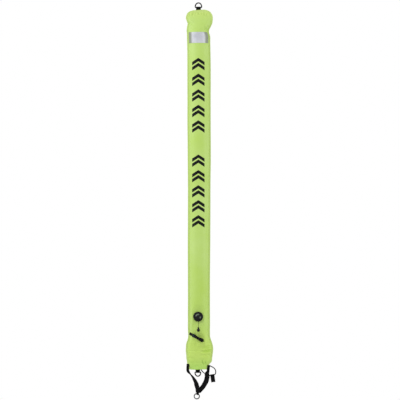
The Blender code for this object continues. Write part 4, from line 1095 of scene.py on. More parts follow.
def strap(name, stations, thickness):
    """Webbing through stations of middle, direction across it and width. UV is in metres."""
    outline = slab_outline()
    points, uv = [], []
    gone = 0.0
    count = len(stations)
    for i, (middle, across, width) in enumerate(stations):
        along = stations[min(i + 1, count - 1)][0] - stations[max(i - 1, 0)][0]
        if i:
            gone += (middle - stations[i - 1][0]).length
        across = across.normalized()
        face = along.cross(across).normalized()
        end = min(i, count - 1 - i)
        thin = thickness / 2 * (0.75 if end == 0 else 1.0)
        fray = 1 + 0.006 * math.sin(gone * 2100) + 0.004 * math.sin(gone * 5300)
        for a, b in outline:
            points.append(middle + across * (a * width / 2 * fray) + face * (b * thin))
            uv.append((a * width / 2, gone))
    faces = capped_faces(count, len(outline))
    return facing_out(new_mesh(name, points, faces, strap_material, uv))


def spline(points, step):
    """Points about a step apart on a smooth curve through the given ones."""
    points = [Vector(p) for p in points]
    ends = [2 * points[0] - points[1], *points, 2 * points[-1] - points[-2]]
    line = [points[0]]
    for before, a, b, after in zip(ends, ends[1:], ends[2:], ends[3:]):
        count = max(1, round((b - a).length / step))
        for i in range(1, count + 1):
            t = i / count
            point = 2 * a + (b - before) * t + (2 * before - 5 * a + 4 * b - after) * t**2
            line.append(0.5 * (point + (3 * a - before - 3 * b + after) * t**3))
    return line


# Bridle: the sewn anchor above the mouth and the leg below it are one length of webbing
BRIDLE_Y = box_middle("left_anchor").y
PIVOT_Z = MOUTH_Z - 0.003
ANCHOR_WIDTH = 0.014
STRAP_WIDTH = 0.025
STRAP = 0.0015
SEWN_INSET = 0.0022  # from the strap's edge to its rows of stitches
LEG_STEP_BACK = 0.00235  # the legs part this far, to the front and the rear of the keeper
LEG_SPREAD_DROP = 0.075
FOOT_SPREAD = 0.003  # and this much more round the keeper's fold
FOOT_SPREAD_DROPS = (0.098, 0.110)

# Across in half widths of the tube, below the pivot, twist in degrees, width
LEFT_STRAP = (
    (-0.9465, -0.0305, 0, ANCHOR_WIDTH),
    (-0.9555, -0.0150, 0, ANCHOR_WIDTH),
    (-0.9645, 0.0000, 0, ANCHOR_WIDTH),
    (-0.915, 0.0085, 35, 0.0165),
    (-0.762, 0.0190, 70, 0.0225),
    (-0.540, 0.0335, 65, STRAP_WIDTH),
    (-0.369, 0.0485, 50, STRAP_WIDTH),
    (-0.235, 0.0630, 36, 0.0245),
    (-0.158, 0.0780, 0, 0.0225),
    (-0.0775, 0.0930, 0, 0.0220),
    (-0.0667, 0.1060, 0, 0.0205),
    (-0.060, 0.1135, 0, 0.0190),
)
RIGHT_STRAP = (
    (0.930, -0.0240, 0, ANCHOR_WIDTH),
    (0.903, -0.0120, 0, ANCHOR_WIDTH),
    (0.876, 0.0000, 0, ANCHOR_WIDTH),
    (0.862, 0.0075, -4, 0.0150),
    (0.800, 0.0145, -10, 0.0200),
    (0.768, 0.0215, -15, 0.0240),
    (0.788, 0.0330, -14, STRAP_WIDTH),
    (0.752, 0.0430, -12, STRAP_WIDTH),
    (0.715, 0.0530, -8, STRAP_WIDTH),
    (0.636, 0.0630, 0, 0.0245),
    (0.530, 0.0730, 0, 0.0238),
    (0.419, 0.0830, 0, 0.0235),
    (0.271, 0.0930, 0, 0.0230),
    (0.134, 0.1030, 0, 0.0215),
    (-0.005, 0.1130, 0, 0.0190),
)


def leg_step(down):
    """How far a leg has parted from the bridle's middle plane at this drop."""
    begin, end = FOOT_SPREAD_DROPS
    foot = FOOT_SPREAD * smooth((down - begin) / (end - begin))
    return float(LEG_STEP_BACK * smooth(down / LEG_SPREAD_DROP) + foot)


STRAP_STEP = 0.0012
BEND_REACH = 0.004  # this far above and below a leg's hinge


def bridle_strap(name, table, lean):
    """An anchor and its leg in one strap, which steps back from the other leg towards lean."""
    downs = np.arange(table[0][1], table[-1][1] + STRAP_STEP / 3, STRAP_STEP)
    rows = smooth_read([(row[1], row[0], row[2], row[3]) for row in table], downs)
    line = [Vector((row[0] * HALF_WIDTH, 0, PIVOT_Z - down)) for row, down in zip(rows, downs)]
    stations = []
    for i, (row, down) in enumerate(zip(rows, downs)):
        along = line[min(i + 3, len(line) - 1)] - line[max(i - 3, 0)]
        level = Vector((-along.z, 0, along.x)).normalized()
        level = level.lerp(Vector((1, 0, 0)), float(smooth(1 - down / 0.010))).normalized()
        turn = math.radians(row[1])
        across = level * math.cos(turn) + Vector((0, lean * math.sin(turn), 0))
        y = BRIDLE_Y + lean * leg_step(down)
        stations.append((line[i] + Vector((0, y, 0)), across, float(row[2])))
    return strap(name, stations, STRAP), stations


def sewn_box(stations, first, last, inset, lift):
    """Stitch places for a box with a cross in it, on the strap's front between two stations."""
    corners = []
    for k, side in ((first, -1), (first, 1), (last, 1), (last, -1)):
        middle, across, width = stations[k]
        corners.append(middle + across.normalized() * side * (width / 2 - inset) + Vector((0, -lift, 0)))
    places = []
    for a, b in ((0, 1), (1, 2), (2, 3), (3, 0), (0, 2), (1, 3)):
        places += stitch_row([corners[a], corners[b]], (0, -1, 0))
    return places


anchor_stitches = []
for name, table, lean, nodes_replaced in (
    ("left_strap", LEFT_STRAP, -1, ("left_anchor", "left_leg")),
    ("right_strap", RIGHT_STRAP, 1, ("right_anchor", "right_leg")),
):
    made, stations = bridle_strap(name, table, lean)
    rows = [i for i, (middle, _, _) in enumerate(stations) if middle.z > MOUTH_Z + 0.003]
    anchor_stitches += sewn_box(stations, rows[1], rows[-1], SEWN_INSET, STRAP / 2)
    above, below = (0, BRIDLE_Y, PIVOT_Z + BEND_REACH), (0, BRIDLE_Y, PIVOT_Z - BEND_REACH)
    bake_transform(made)
    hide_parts(*nodes_replaced)
finish(stitches("anchor_stitching", anchor_stitches), "tube", "webbing")


FOLD_TAPER = 0.0035  # a tab that is narrow round its bar widens over this length


def tab(name, place, width, bore, ply, tail, fold_width=None):
    """Webbing folded round a bar on the local X axis, its two plies sewn in a tail towards -Z."""
    reach = bore + ply / 2
    half = [(ply * 0.52, -tail), (ply * 0.52, -0.6 * tail - 0.4 * reach), (ply * 0.55, -1.9 * reach)]
    half += [(0.62 * reach, -1.05 * reach), (0.93 * reach, -0.36 * reach)]
    round_bar = arc((0, 0), (reach, reach), 0, 90, 3)
    path = half + round_bar
    path += [(-y, z) for y, z in path[-2::-1]]
    line = spline([Vector((0, y, z)) for y, z in path], 0.0006)
    across = (place.to_3x3() @ Vector((1, 0, 0))).normalized()
    narrow = 1 - (fold_width or width) / width
    stations = []
    for point in line:
        share = float(smooth((point.z + bore + ply) / FOLD_TAPER + 1))
        stations.append((place @ point, across, width * (1 - share * narrow)))
    return strap(name, stations, ply)


TAB_SEWN_INSET = 0.0024


def tab_stitches(place, width, low, high, out, cross=True):
    """A sewn box on each face of a tab's tail, out from its middle plane."""
    places = []
    inset = width / 2 - TAB_SEWN_INSET
    corners = [(-inset, low), (inset, low), (inset, high), (-inset, high)]
    lines = list(zip(corners, corners[1:] + corners[:1]))
    if cross:
        lines += [(corners[0], corners[2]), (corners[1], corners[3])]
    for face in (-1, 1):
        for (xa, za), (xb, zb) in lines:
            ends = [place @ Vector((xa, face * out, za)), place @ Vector((xb, face * out, zb))]
            places += stitch_row(ends, place.to_3x3() @ Vector((0, face, 0)))
    return places


WEBBING = 0.0012
TAB_WIDTH = 0.024
CENTRE_FOLD_WIDTH = 0.020
# How far the stitches lie from a tab's middle plane, and the rows they take on the top tab
TAB_FACE = 0.00128
TOP_TAB_FACE = 0.00135
TOP_SEWN = (-0.0098, -0.0066)
TOP_BAR = Vector((0, 0, -0.0203))
tab_bore = D_RING_WIRE / 2 + GAP
top_place = Matrix.Translation(TOP_BAR)
top_tail = TOP_BAR.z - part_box("top_tab")[0].z
top_webbing = tab("top_webbing", top_place, TAB_WIDTH, tab_bore, WEBBING, top_tail)
finish(top_webbing, "tube", "webbing", "top_tab")
top_sewn = tab_stitches(top_place, TAB_WIDTH, *TOP_SEWN, TOP_TAB_FACE, cross=False)
finish(stitches("top_stitching", top_sewn), "tube", "webbing")

centre_low, centre_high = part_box("centre_tab")
CENTRE_BAR = box_middle("centre_tab")
CENTRE_BAR.z = centre_low.z + tab_bore + WEBBING
centre_place = Matrix.Translation(CENTRE_BAR) @ Matrix.Rotation(math.pi, 4, "X")
centre_tail = centre_high.z - CENTRE_BAR.z
centre_webbing = tab(
    "centre_webbing", centre_place, TAB_WIDTH, tab_bore, WEBBING, centre_tail, CENTRE_FOLD_WIDTH
)
finish(centre_webbing, "tube", "webbing", "centre_tab")
centre_sewn = tab_stitches(centre_place, TAB_WIDTH, -centre_tail + 0.002, -0.0135, TAB_FACE)
# Its front face lies against the fabric, so the stitches show on the rear face alone
centre_sewn = [place for place in centre_sewn if place.translation.y > CENTRE_BAR.y]
finish(stitches("centre_stitching", centre_sewn), "tube", "webbing")

# The keeper: webbing that holds the round ring, sewn between the two legs
KEEPER_LEAN = math.radians(18)
KEEPER_WIDTH = 0.012
KEEPER_PLY = 0.0013
KEEPER_TAIL = 0.0185
KEEPER_BORE = 0.0043
KEEPER_SAG = 0.0006
towards = Vector((math.sin(KEEPER_LEAN), 0, math.cos(KEEPER_LEAN)))
sideways = Vector((math.cos(KEEPER_LEAN), 0, -math.sin(KEEPER_LEAN)))
keeper_bar = Vector((RING_MIDDLE.x, BRIDLE_Y, RING_MIDDLE.z)) + towards * (RING_RADIUS - KEEPER_SAG)
keeper_place = placed(sideways, Vector((0, -1, 0)), -towards, keeper_bar)
keeper = tab("ring_keeper", keeper_place, KEEPER_WIDTH, KEEPER_BORE, KEEPER_PLY, KEEPER_TAIL)
finish(keeper, "bridle", "webbing", "bridle_keeper")
JOIN_REACH = 0.0042
JOIN_SPAN = (0.0095, 0.0165)  # the sewn box, measured up the keeper from its bar


def on_leg(across, up, face):
    """A point on the outer face of the front or the rear leg, above the keeper's bar."""
    point = keeper_place @ Vector((across, 0, -up))
    point.y = BRIDLE_Y + face * (leg_step(PIVOT_Z - point.z) + STRAP / 2)
    return point


join_rows = []
for face in (-1, 1):
    low, high = JOIN_SPAN
    corners = [(-JOIN_REACH, low), (JOIN_REACH, low), (JOIN_REACH, high), (-JOIN_REACH, high)]
    for (xa, za), (xb, zb) in zip(corners, corners[1:] + corners[:1]):
        steps = [i / 4 for i in range(5)]
        line = [on_leg(xa + (xb - xa) * t, za + (zb - za) * t, face) for t in steps]
        join_rows += stitch_row(line, (0, face, 0))
finish(stitches("bridle_stitching", join_rows), "bridle", "webbing")


# Elastic loop and its pull tab
LOOP_ROUTE = (
    (0.0122, 0.0164, -1.8270),
    (0.0138, 0.0164, -1.8322),
    (0.0180, 0.0150, -1.8385),
    (0.0232, 0.0133, -1.8440),
    (0.0297, 0.0117, -1.8485),
    (0.0367, 0.0103, -1.8520),
    (0.0437, 0.0091, -1.8550),
    (0.0507, 0.0080, -1.8577),
    (0.0567, 0.0074, -1.8597),
    (0.0603, 0.0074, -1.8593),
    (0.0693, 0.0074, -1.8580),
    (0.0783, 0.0074, -1.8567),
    (0.0815, 0.0074, -1.8556),
    (0.0845, 0.0069, -1.8520),
    (0.0862, 0.0063, -1.8462),
    (0.0864, 0.0057, -1.8395),
    (0.0848, 0.0052, -1.8328),
    (0.0812, 0.0048, -1.8268),
    (0.0762, 0.0046, -1.8220),
    (0.0700, 0.0044, -1.8180),
    (0.0632, 0.0042, -1.8145),
    (0.0566, 0.0040, -1.8115),
    (0.0500, 0.0038, -1.8090),
)
LOOP_CORD = 0.005
WHIPPING_THREAD = 0.0007
WHIPPING_TURNS = 6
WHIPPING_START = 0.0006
loop_line = spline(LOOP_ROUTE, 0.0012)
loop = sweep("elastic_cord", loop_line, LOOP_CORD / 2, 16, elastic_material)
finish(loop, "loop", "elastic_cord", "elastic_loop")


def point_along(line, distance):
    """The point this far along a line."""
    for a, b in zip(line, line[1:]):
        step = (b - a).length
        if distance <= step:
            return a.lerp(b, distance / step)
        distance -= step
    return line[-1]


def whipping(name, line):
    """Thread wound tightly round the first few millimetres of the elastic."""
    steps = 14
    radius = LOOP_CORD / 2 + 0.0001
    along = (point_along(line, 0.004) - line[0]).normalized()
    side = along.orthogonal().normalized()
    up = along.cross(side)
    winding = []
    for i in range(WHIPPING_TURNS * steps + 1):
        angle = i * math.tau / steps
        middle = point_along(line, WHIPPING_START + WHIPPING_THREAD * i / steps)
        winding.append(middle + (side * math.cos(angle) + up * math.sin(angle)) * radius)
    return sweep(name, winding, WHIPPING_THREAD / 2, 6, thread_material)


windings = [whipping("first_end", loop_line), whipping("last_end", loop_line[::-1])]
whipped = join("loop_whipping", windings)
finish(whipped, "loop", "webbing")

PULL_AT = 10  # the point of the loop's route that the pull tab hangs on
PULL_WIDTH = 0.021
PULL_LENGTH = 0.036
pull_along = (Vector(LOOP_ROUTE[PULL_AT + 1]) - Vector(LOOP_ROUTE[PULL_AT - 1])).normalized()
pull_up = -Vector((0, 1, 0)).cross(pull_along)
pull_place = placed(pull_along, pull_up.cross(pull_along), pull_up, LOOP_ROUTE[PULL_AT])
pull = tab("pull_webbing", pull_place, PULL_WIDTH, LOOP_CORD / 2 + GAP, WEBBING, PULL_LENGTH)
finish(pull, "pull_tab", "webbing", "pull_tab")
pull_stitches = tab_stitches(pull_place, PULL_WIDTH, -PULL_LENGTH + 0.003, -0.010, TAB_FACE)
pull_sewn = finish(stitches("pull_stitching", pull_stitches), "pull_tab", "webbing")


CORNER_STEPS = 4


def soften(profile, radius, closed):
    """The profile with its corners rounded, as moulded plastic has them."""
    count = len(profile)
    out = []
    for i, corner in enumerate(profile):
        if not closed and i in (0, count - 1):
            out.append(corner)
            continue
        before, after = Vector(profile[i - 1]), Vector(profile[(i + 1) % count])
        here = Vector(corner)
        a, b = before - here, after - here
        reach = min(radius, 0.42 * a.length, 0.42 * b.length)
        start, end = here + a.normalized() * reach, here + b.normalized() * reach
        for k in range(CORNER_STEPS + 1):
            t = k / CORNER_STEPS
            out.append(tuple(start * (1 - t) ** 2 + here * 2 * t * (1 - t) + end * t**2))
    return out


ON_AXIS = 0.00001


def tube_wall(inner, outer, low, high):
    """The profile of a plain tube, or of a rod where inner is 0."""
    return [(inner, low), (outer, low), (outer, high), (inner, high)]


def turned(name, profile, place, material, radius=0.0005, steps=72):
    """A profile of radius and height turned about the place's Z axis, its corners rounded.

    A profile that starts on the axis also ends there. Any other is a closed ring's.
    """
    closed = profile[0][0] > ON_AXIS
    profile = soften(profile, radius, closed)
    count = len(profile)
    points = []
    for i in range(steps):
        angle = i * math.tau / steps
        points += [place @ Vector((r * math.cos(angle), r * math.sin(angle), z)) for r, z in profile]
    faces = []
    for i in range(steps):
        k = (i + 1) % steps
        for j in range(count if closed else count - 1):
            m = (j + 1) % count
            faces.append((i * count + j, k * count + j, k * count + m, i * count + m))
    return facing_out(new_mesh(name, points, faces, material), merge=0.000005)


def around(place, radius, height, count, start=0.0, lean=0.0):
    """Places round an axis, each with its own X axis pointing outwards."""
    out = []
    for i in range(count):
        turn = Matrix.Rotation(start + i * math.tau / count, 4, "Z")
        out.append(place @ turn @ Matrix.Translation((radius, 0, height)) @ Matrix.Rotation(lean, 4, "Y"))
    return out


KNOB_SHOULDER = 0.0118
# The arcs of painted highlight: the middle's angle, and the cosines from it between which an arc fades in
HIGHLIGHT_ARCS = ((118, 0.45, 0.80), (-18, 0.88, 0.97))


def lid_plastic():
    """The lid's plastic, with painted highlights: two pale arcs on its knob's shoulder."""
    material, nodes, shader = new_material("lid_plastic_painted_highlight", Specular_IOR_Level=0.2)
    place = coordinates(nodes)[0]
    apart = nodes.add("ShaderNodeVectorMath", {0: place, 1: tuple(VALVE)}, operation="SUBTRACT")
    across, _, up = nodes.add("ShaderNodeSeparateXYZ", {0: apart.outputs[0]}).outputs
    squares = nodes.math("ADD", nodes.math("MULTIPLY", across, across), nodes.math("MULTIPLY", up, up))
    radius = nodes.math("SQRT", squares)
    from_shoulder = nodes.math("ABSOLUTE", nodes.math("SUBTRACT", radius, KNOB_SHOULDER))
    shoulder = nodes.ramp(from_shoulder, 0.0012, 0.0046, 1.0, 0.0)
    windows = 0.0
    for angle, narrow, wide in HIGHLIGHT_ARCS:
        turn = math.radians(angle)
        towards = nodes.math("MULTIPLY", up, math.sin(turn))
        towards = nodes.math("MULTIPLY_ADD", across, math.cos(turn), towards)
        window = nodes.ramp(nodes.math("DIVIDE", towards, radius), narrow, wide)
        windows = nodes.math("MAXIMUM", window, windows)
    grain = nodes.noise(place, 260.0, 4.0)
    # Painted highlight: pale plastic in the two arcs on the knob's shoulder, broken up by grain
    wear_and_highlight = nodes.math("MULTIPLY", shoulder, windows)
    wear_and_highlight = nodes.math("MULTIPLY", wear_and_highlight, nodes.ramp(grain, 0.25, 0.6, 0.45, 1.0))
    tone = nodes.mix(wear_and_highlight, linear(8, 9, 8), linear(112, 126, 108))
    dull = nodes.ramp(grain, 0.3, 0.7, 0.26, 0.36)
    dress(nodes, shader, nodes.noise(place, MOULD_GRAIN), 0.00005, 0.5, Base_Color=tone, Roughness=dull)
    return material


lid_material = lid_plastic()

# Dump valve, on its own axis: X across, Y up the tube, Z out of the fabric. Each profile lists
# radius and height on that axis.
HOUSING_FOOT = 0.0016
VALVE_OUTER = 0.0245
VALVE_INNER = 0.0212
GASKET = tube_wall(VALVE_HOLE, 0.022, 0.0003, 0.0013)
HOUSING = [(0.0148, HOUSING_FOOT), (0.0240, HOUSING_FOOT), (VALVE_OUTER, 0.0034), (VALVE_OUTER, 0.0066)]
HOUSING += [(0.0241, 0.0080), (VALVE_INNER, 0.0080), (VALVE_INNER, 0.0046), (0.0148, 0.0046)]
LID_KNOB = [(0, 0.0186), (0.0035, 0.0185), (0.0060, 0.0178), (0.0070, 0.0166), (0.0082, 0.0163)]
LID_KNOB += [(0.0132, 0.0140), (0.0141, 0.0131), (0.0143, 0.0118), (0.0150, 0.0111)]
LID_RIM = [(0.0166, 0.0108), (VALVE_INNER, 0.0108), (0.0228, 0.0108), (VALVE_OUTER, 0.0096)]
LID_RIM += [(VALVE_OUTER, 0.0083), (VALVE_INNER, 0.0083), (VALVE_INNER, 0.0094)]
LID_GUIDE = [(0.0115, 0.0100), (0.0115, 0.0141), (0.0030, 0.0141), (0.0030, 0.0177), (0, 0.0177)]
CORD_HOLE = 0.0013
CORD_EXIT = (0.003, -0.0228, 0.0063)
VENT = (0.0045, 0.0030, 0.008)

valve_place = Matrix.Translation((VALVE.x, VALVE_FACE + HOUSING_FOOT, VALVE.z)) @ OUTWARDS
gasket = turned("valve_seal", GASKET, valve_place, rubber_material, 0.0003)
finish(gasket, "tube", "black_rubber", "valve_gasket")

housing = turned("valve_body", HOUSING, valve_place, plastic_material, steps=120)
exit_place = valve_place @ Matrix.Translation(CORD_EXIT) @ OUTWARDS
exit_rod = tube_wall(0, CORD_HOLE, -0.006, 0.006)
cut(housing, [turned("cord_hole", exit_rod, exit_place, plastic_material, 0.00005, steps=24)])
grips = around(valve_place, 0.0244, 0.0049, 72)
knurl = beads("valve_knurl", grips, (0.0008, 0.0011, 0.0040), plastic_material)
finish(join("valve_body", [housing, knurl]), "tube", "black_plastic", "valve_housing")

lid = turned("valve_lid", LID_KNOB + LID_RIM + LID_GUIDE, valve_place, lid_material, steps=120)
vents = around(valve_place, 0.0178, 0.0105, 8, start=math.pi / 8)
cut(lid, [block(VENT, 0.0012, place, lid_material) for place in vents])
knob_grips = around(valve_place, 0.01425, 0.0128, 36, lean=-0.12)
knob_ribs = beads("knob_ribs", knob_grips, (0.0009, 0.0012, 0.0030), lid_material)
finish(join("valve_lid", [lid, knob_ribs]), "tube", "black_plastic", "valve_cap")

SPRING_TURNS = 4


def return_spring(name, place, radius, wire, ends, node):
    """A coil of wire that rises between two heights on the place's axis, in place of its CAD node."""
    steps = 24
    low, high = ends
    rise = high - low - wire
    line = []
    for i in range(SPRING_TURNS * steps + 1):
        angle = i * math.tau / steps
        height = low + wire / 2 + rise * i / (SPRING_TURNS * steps)
        line.append(place @ Vector((radius * math.cos(angle), radius * math.sin(angle), height)))
    coil = sweep(name, line, wire / 2, 10, spring_material)
    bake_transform(coil)
    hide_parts(node)


ends, bodies = (0.0058, 0.0138), ("valve_poppet", "tube")
return_spring("valve_coil", valve_place, 0.005, 0.0008, ends, "valve_spring")

# Dump cord and its bead. The route is across, out of the fabric and up the tube.
CORD_ROUTE = (
    (0.00300, 0.0063, -0.0150),
    (0.00300, 0.0063, -0.0185),
    (0.00300, 0.0063, -0.0220),
    (0.00300, 0.0065, -0.0255),
    (0.00295, 0.0075, -0.0290),
    (0.00280, 0.0090, -0.0325),
    (0.00255, 0.0108, -0.0360),
    (0.00220, 0.0129, -0.0392),
    (0.00180, 0.0146, -0.0423),
    (0.00150, 0.0156, -0.0454),
    (0.00145, 0.0159, -0.0486),
    (0.00145, 0.0159, -0.0518),
    (0.00145, 0.0159, -0.0550),
)
DUMP_CORD = 0.0018
cord_line = spline([valve_place @ Vector((across, up, out)) for across, out, up in CORD_ROUTE], 0.0006)
dump_cord = sweep("braided_dump_cord", cord_line, DUMP_CORD / 2, 14, cord_material)
finish(dump_cord, "dump_pull", "pull_cord", "dump_cord")
BEAD_RADIUS = 0.0076
bead_low, bead_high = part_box("dump_bead")
bead_middle = box_middle("dump_bead")
bead_place = Matrix.Translation((bead_middle.x, bead_middle.y, bead_high.z))
ball_height = BEAD_RADIUS - (bead_high.z - bead_low.z)
bead_profile = [(0, -0.0040), (0.0012, -0.0040), (0.0012, 0.0), (0.0021, 0.0)]
bead_profile += [(0.0027, -0.0010), (0.0038, -0.0060), (0.0060, -0.0110)]
for angle in range(25, -90, -12):
    turn = math.radians(angle)
    bead_profile.append((BEAD_RADIUS * math.cos(turn), ball_height + BEAD_RADIUS * math.sin(turn)))
bead_profile.append((0, ball_height - BEAD_RADIUS))
bead = turned("teardrop_bead", bead_profile, bead_place, plastic_material, 0.0006, steps=48)
finish(bead, "dump_pull", "black_plastic", "dump_bead")

# Oral inflator, on the hose's axis: X above the hose, Y into the fabric, Z along it to the mouthpiece
HOSE_ANGLE = math.radians(29.6)
HOSE_HEIGHT = 0.0135  # of the hose's axis over the port's face
port_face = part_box("inflator_boot")[1].y + GAP
along = Vector((-math.cos(HOSE_ANGLE), 0, math.sin(HOSE_ANGLE)))
above = Vector((math.sin(HOSE_ANGLE), 0, math.cos(HOSE_ANGLE)))
hose_foot = Vector((PORT.x, port_face - HOSE_HEIGHT, PORT.z))
hose_place = placed(above, Vector((0, 1, 0)), along, hose_foot)
port_place = Matrix.Translation((PORT.x, port_face, PORT.z)) @ OUTWARDS

NECK = [(0, 0.0010), (0.0092, 0.0010), (0.0084, 0.0040), (0.0079, HOSE_HEIGHT), (0, HOSE_HEIGHT)]
ELBOW = 0.0083
COLLARS = (0.0066, 0.0098)
PAD_RADIUS = 0.0095
PAD_NOSE = [(0.0122, -0.0008), (0.0125, 0.0), (0.0122, 0.0008)]
PAD_LAYERS = ((0.0003, 1.0), (0.0016, 1.0), (0.0024, 0.93))  # height, and share of the outline
BOOT_GRAIN = 0.00035
BOOT_BORE = 0.0071


def rubber_boot():
    """The moulded elbow: a pad, a standing neck and a ball, run together with soft fillets."""
    standing = turned("standing", NECK, port_place, rubber_material, 0.0004)
    ball = arc((0, 0), (ELBOW, ELBOW), -90, 0, 9)
    ball[0] = (0, -ELBOW)
    ball += [(ELBOW, 0.0140), (0.0074, 0.0140), (0, 0.0140)]
    pieces = [standing, turned("elbow", ball, hose_place, rubber_material, 0.0003)]
    outline = arc((0, 0), (PAD_RADIUS, PAD_RADIUS), 40.5, 319.5, 28) + PAD_NOSE
    pad_place = port_place @ Matrix.Rotation(-HOSE_ANGLE, 4, "Z")
    points = [pad_place @ Vector((x * k, y * k, z)) for z, k in PAD_LAYERS for x, y in outline]
    faces = capped_faces(len(PAD_LAYERS), len(outline))
    pieces.append(facing_out(new_mesh("pad", points, faces, rubber_material)))
    for at in COLLARS:
        collar = [(0.0060, at), (0.0088, at + 0.0002), (0.0088, at + 0.0014), (0.0060, at + 0.0016)]
        pieces.append(turned("collar", collar, hose_place, rubber_material, 0.0003))
    boot = join("rubber_boot", pieces)
    grain = boot.modifiers.new("run_together", "REMESH")
    grain.mode = "VOXEL"
    grain.voxel_size = BOOT_GRAIN
    grain.use_smooth_shade = True
    settle = boot.modifiers.new("soften", "SMOOTH")
    settle.factor = 0.5
    settle.iterations = 5
    apply_modifiers(boot)
    bore = tube_wall(0, BOOT_BORE, 0.0049, 0.0170)
    cut(boot, [turned("bore", bore, hose_place, rubber_material, 0.0001, steps=64)])
    boot.data.materials.clear()
    boot.data.materials.append(rubber_material)
    boot.data.shade_smooth()
    return boot


finish(rubber_boot(), "inflator", "black_rubber", "inflator_boot")

HOSE_BORE = 0.0045
HOSE_RADIUS = 0.0068
HOSE_ENDS = (0.0052, 0.0352)
GROOVES = (0.0150, 0.0021, 9)  # the first one's place, their pitch and their number
TIED = (0.0170, 0.0220)  # no groove where the tie lies
hose_profile = [(HOSE_BORE, HOSE_ENDS[0]), (HOSE_RADIUS, HOSE_ENDS[0])]
for i in range(GROOVES[2]):
    at = GROOVES[0] + i * GROOVES[1]
    if not TIED[0] < at < TIED[1]:
        hose_profile += [(HOSE_RADIUS, at), (0.00645, at + 0.0004), (HOSE_RADIUS, at + 0.0008)]
hose_profile += [(HOSE_RADIUS, HOSE_ENDS[1]), (HOSE_BORE, HOSE_ENDS[1])]
hose = turned("rubber_hose", hose_profile, hose_place, rubber_material, 0.0003, steps=64)
finish(hose, "inflator", "black_rubber", "inflator_hose")

TIE_AT = 0.0200
tie_wall = tube_wall(BOOT_BORE, 0.0084, 0.0185, 0.0215)
tie_pieces = [
    turned("band", tie_wall, hose_place, plastic_material, 0.0003),
    beads("teeth", around(hose_place, 0.00838, TIE_AT, 44), (0.0003, 0.0007, 0.0018), plastic_material),
]
for size, rounding, place in (
    ((0.0050, 0.0030, 0.0045), 0.0006, (0, -0.0093, TIE_AT)),
    ((0.0013, 0.0016, 0.0026), 0.0003, (0.0006, -0.0110, TIE_AT)),
):
    tie_pieces.append(block(size, rounding, hose_place @ Matrix.Translation(place), plastic_material))
finish(join("cable_tie", tie_pieces), "inflator", "black_plastic", "hose_tie")

BARREL = [(0.0028, 0.0270), (0.0043, 0.0270), (0.0039, 0.0355), (0.0070, 0.0355), (0.0080, 0.0368)]
BARREL += [(0.0080, 0.0440), (0.0076, 0.0446), (0.0076, 0.0500), (0.0080, 0.0506), (0.0080, 0.0526)]
BARREL += [(0.0074, 0.0532), (0.0054, 0.0532), (0.0054, 0.0432), (0.0026, 0.0432), (0.0026, 0.0420)]
BARREL += [(0.0050, 0.0420), (0.0050, 0.0370), (0.0028, 0.0370)]
barrel = turned("barrel", BARREL, hose_place, plastic_material, 0.0004, steps=64)
flute_places = around(hose_place, 0.0080, 0.0404, 20)
flutes = beads("flutes", flute_places, (0.0008, 0.0011, 0.0056), plastic_material)
finish(join("push_barrel", [barrel, flutes]), "inflator", "black_plastic", "mouthpiece_barrel")

LOCK = [(0.0083, 0.0460), (0.0096, 0.0460), (0.0100, 0.0470), (0.0100, 0.0495), (0.0096, 0.0505)]
LOCK += [(0.0083, 0.0505)]
lock = turned("lock", LOCK, hose_place, blue_material, 0.0004, steps=96)
rib_places = around(hose_place, 0.0099, 0.04825, 32)
lock_ribs = beads("lock_ribs", rib_places, (0.0007, 0.0011, 0.0034), blue_material)
finish(join("locking_ring", [lock, lock_ribs]), "lock_ring", "grey_plastic", "lock_ring")

NOZZLE = [(0.0032, 0.0505), (0.0050, 0.0505), (0.0050, 0.0565), (0.0090, 0.0565), (0.0095, 0.0574)]
NOZZLE += [(0.0095, 0.0588), (0.0082, 0.0600), (0.0069, 0.0606), (0.0066, 0.0612), (0.0066, 0.0668)]
NOZZLE += [(0.0068, 0.0680), (0.0066, 0.0697), (0.0059, 0.0705), (0.0040, 0.0705), (0.0034, 0.0699)]
NOZZLE += [(0.0032, 0.0690)]
nozzle = turned("nozzle", NOZZLE, hose_place, plastic_material)
web_place = hose_place @ Matrix.Translation((0, 0, 0.05125))
web = block((0.0064, 0.0015, 0.0015), 0.0002, web_place, plastic_material)
finish(join("push_nozzle", [nozzle, web]), "mouthpiece", "black_plastic", "mouthpiece_nozzle")
ends, bodies = (0.0435, 0.0502), ("inflator", "mouthpiece")
return_spring("mouthpiece_coil", hose_place, 0.0042, 0.0007, ends, "mouthpiece_spring")


# Duckbill baffle: two thin flaps inside the mouth
FLAP = 0.00035
FLAP_ROOM = 0.0006
FLAP_GRID = (34, 61)
LIP_HALF_GAP = 0.0054
LIP_NARROWING = 0.38


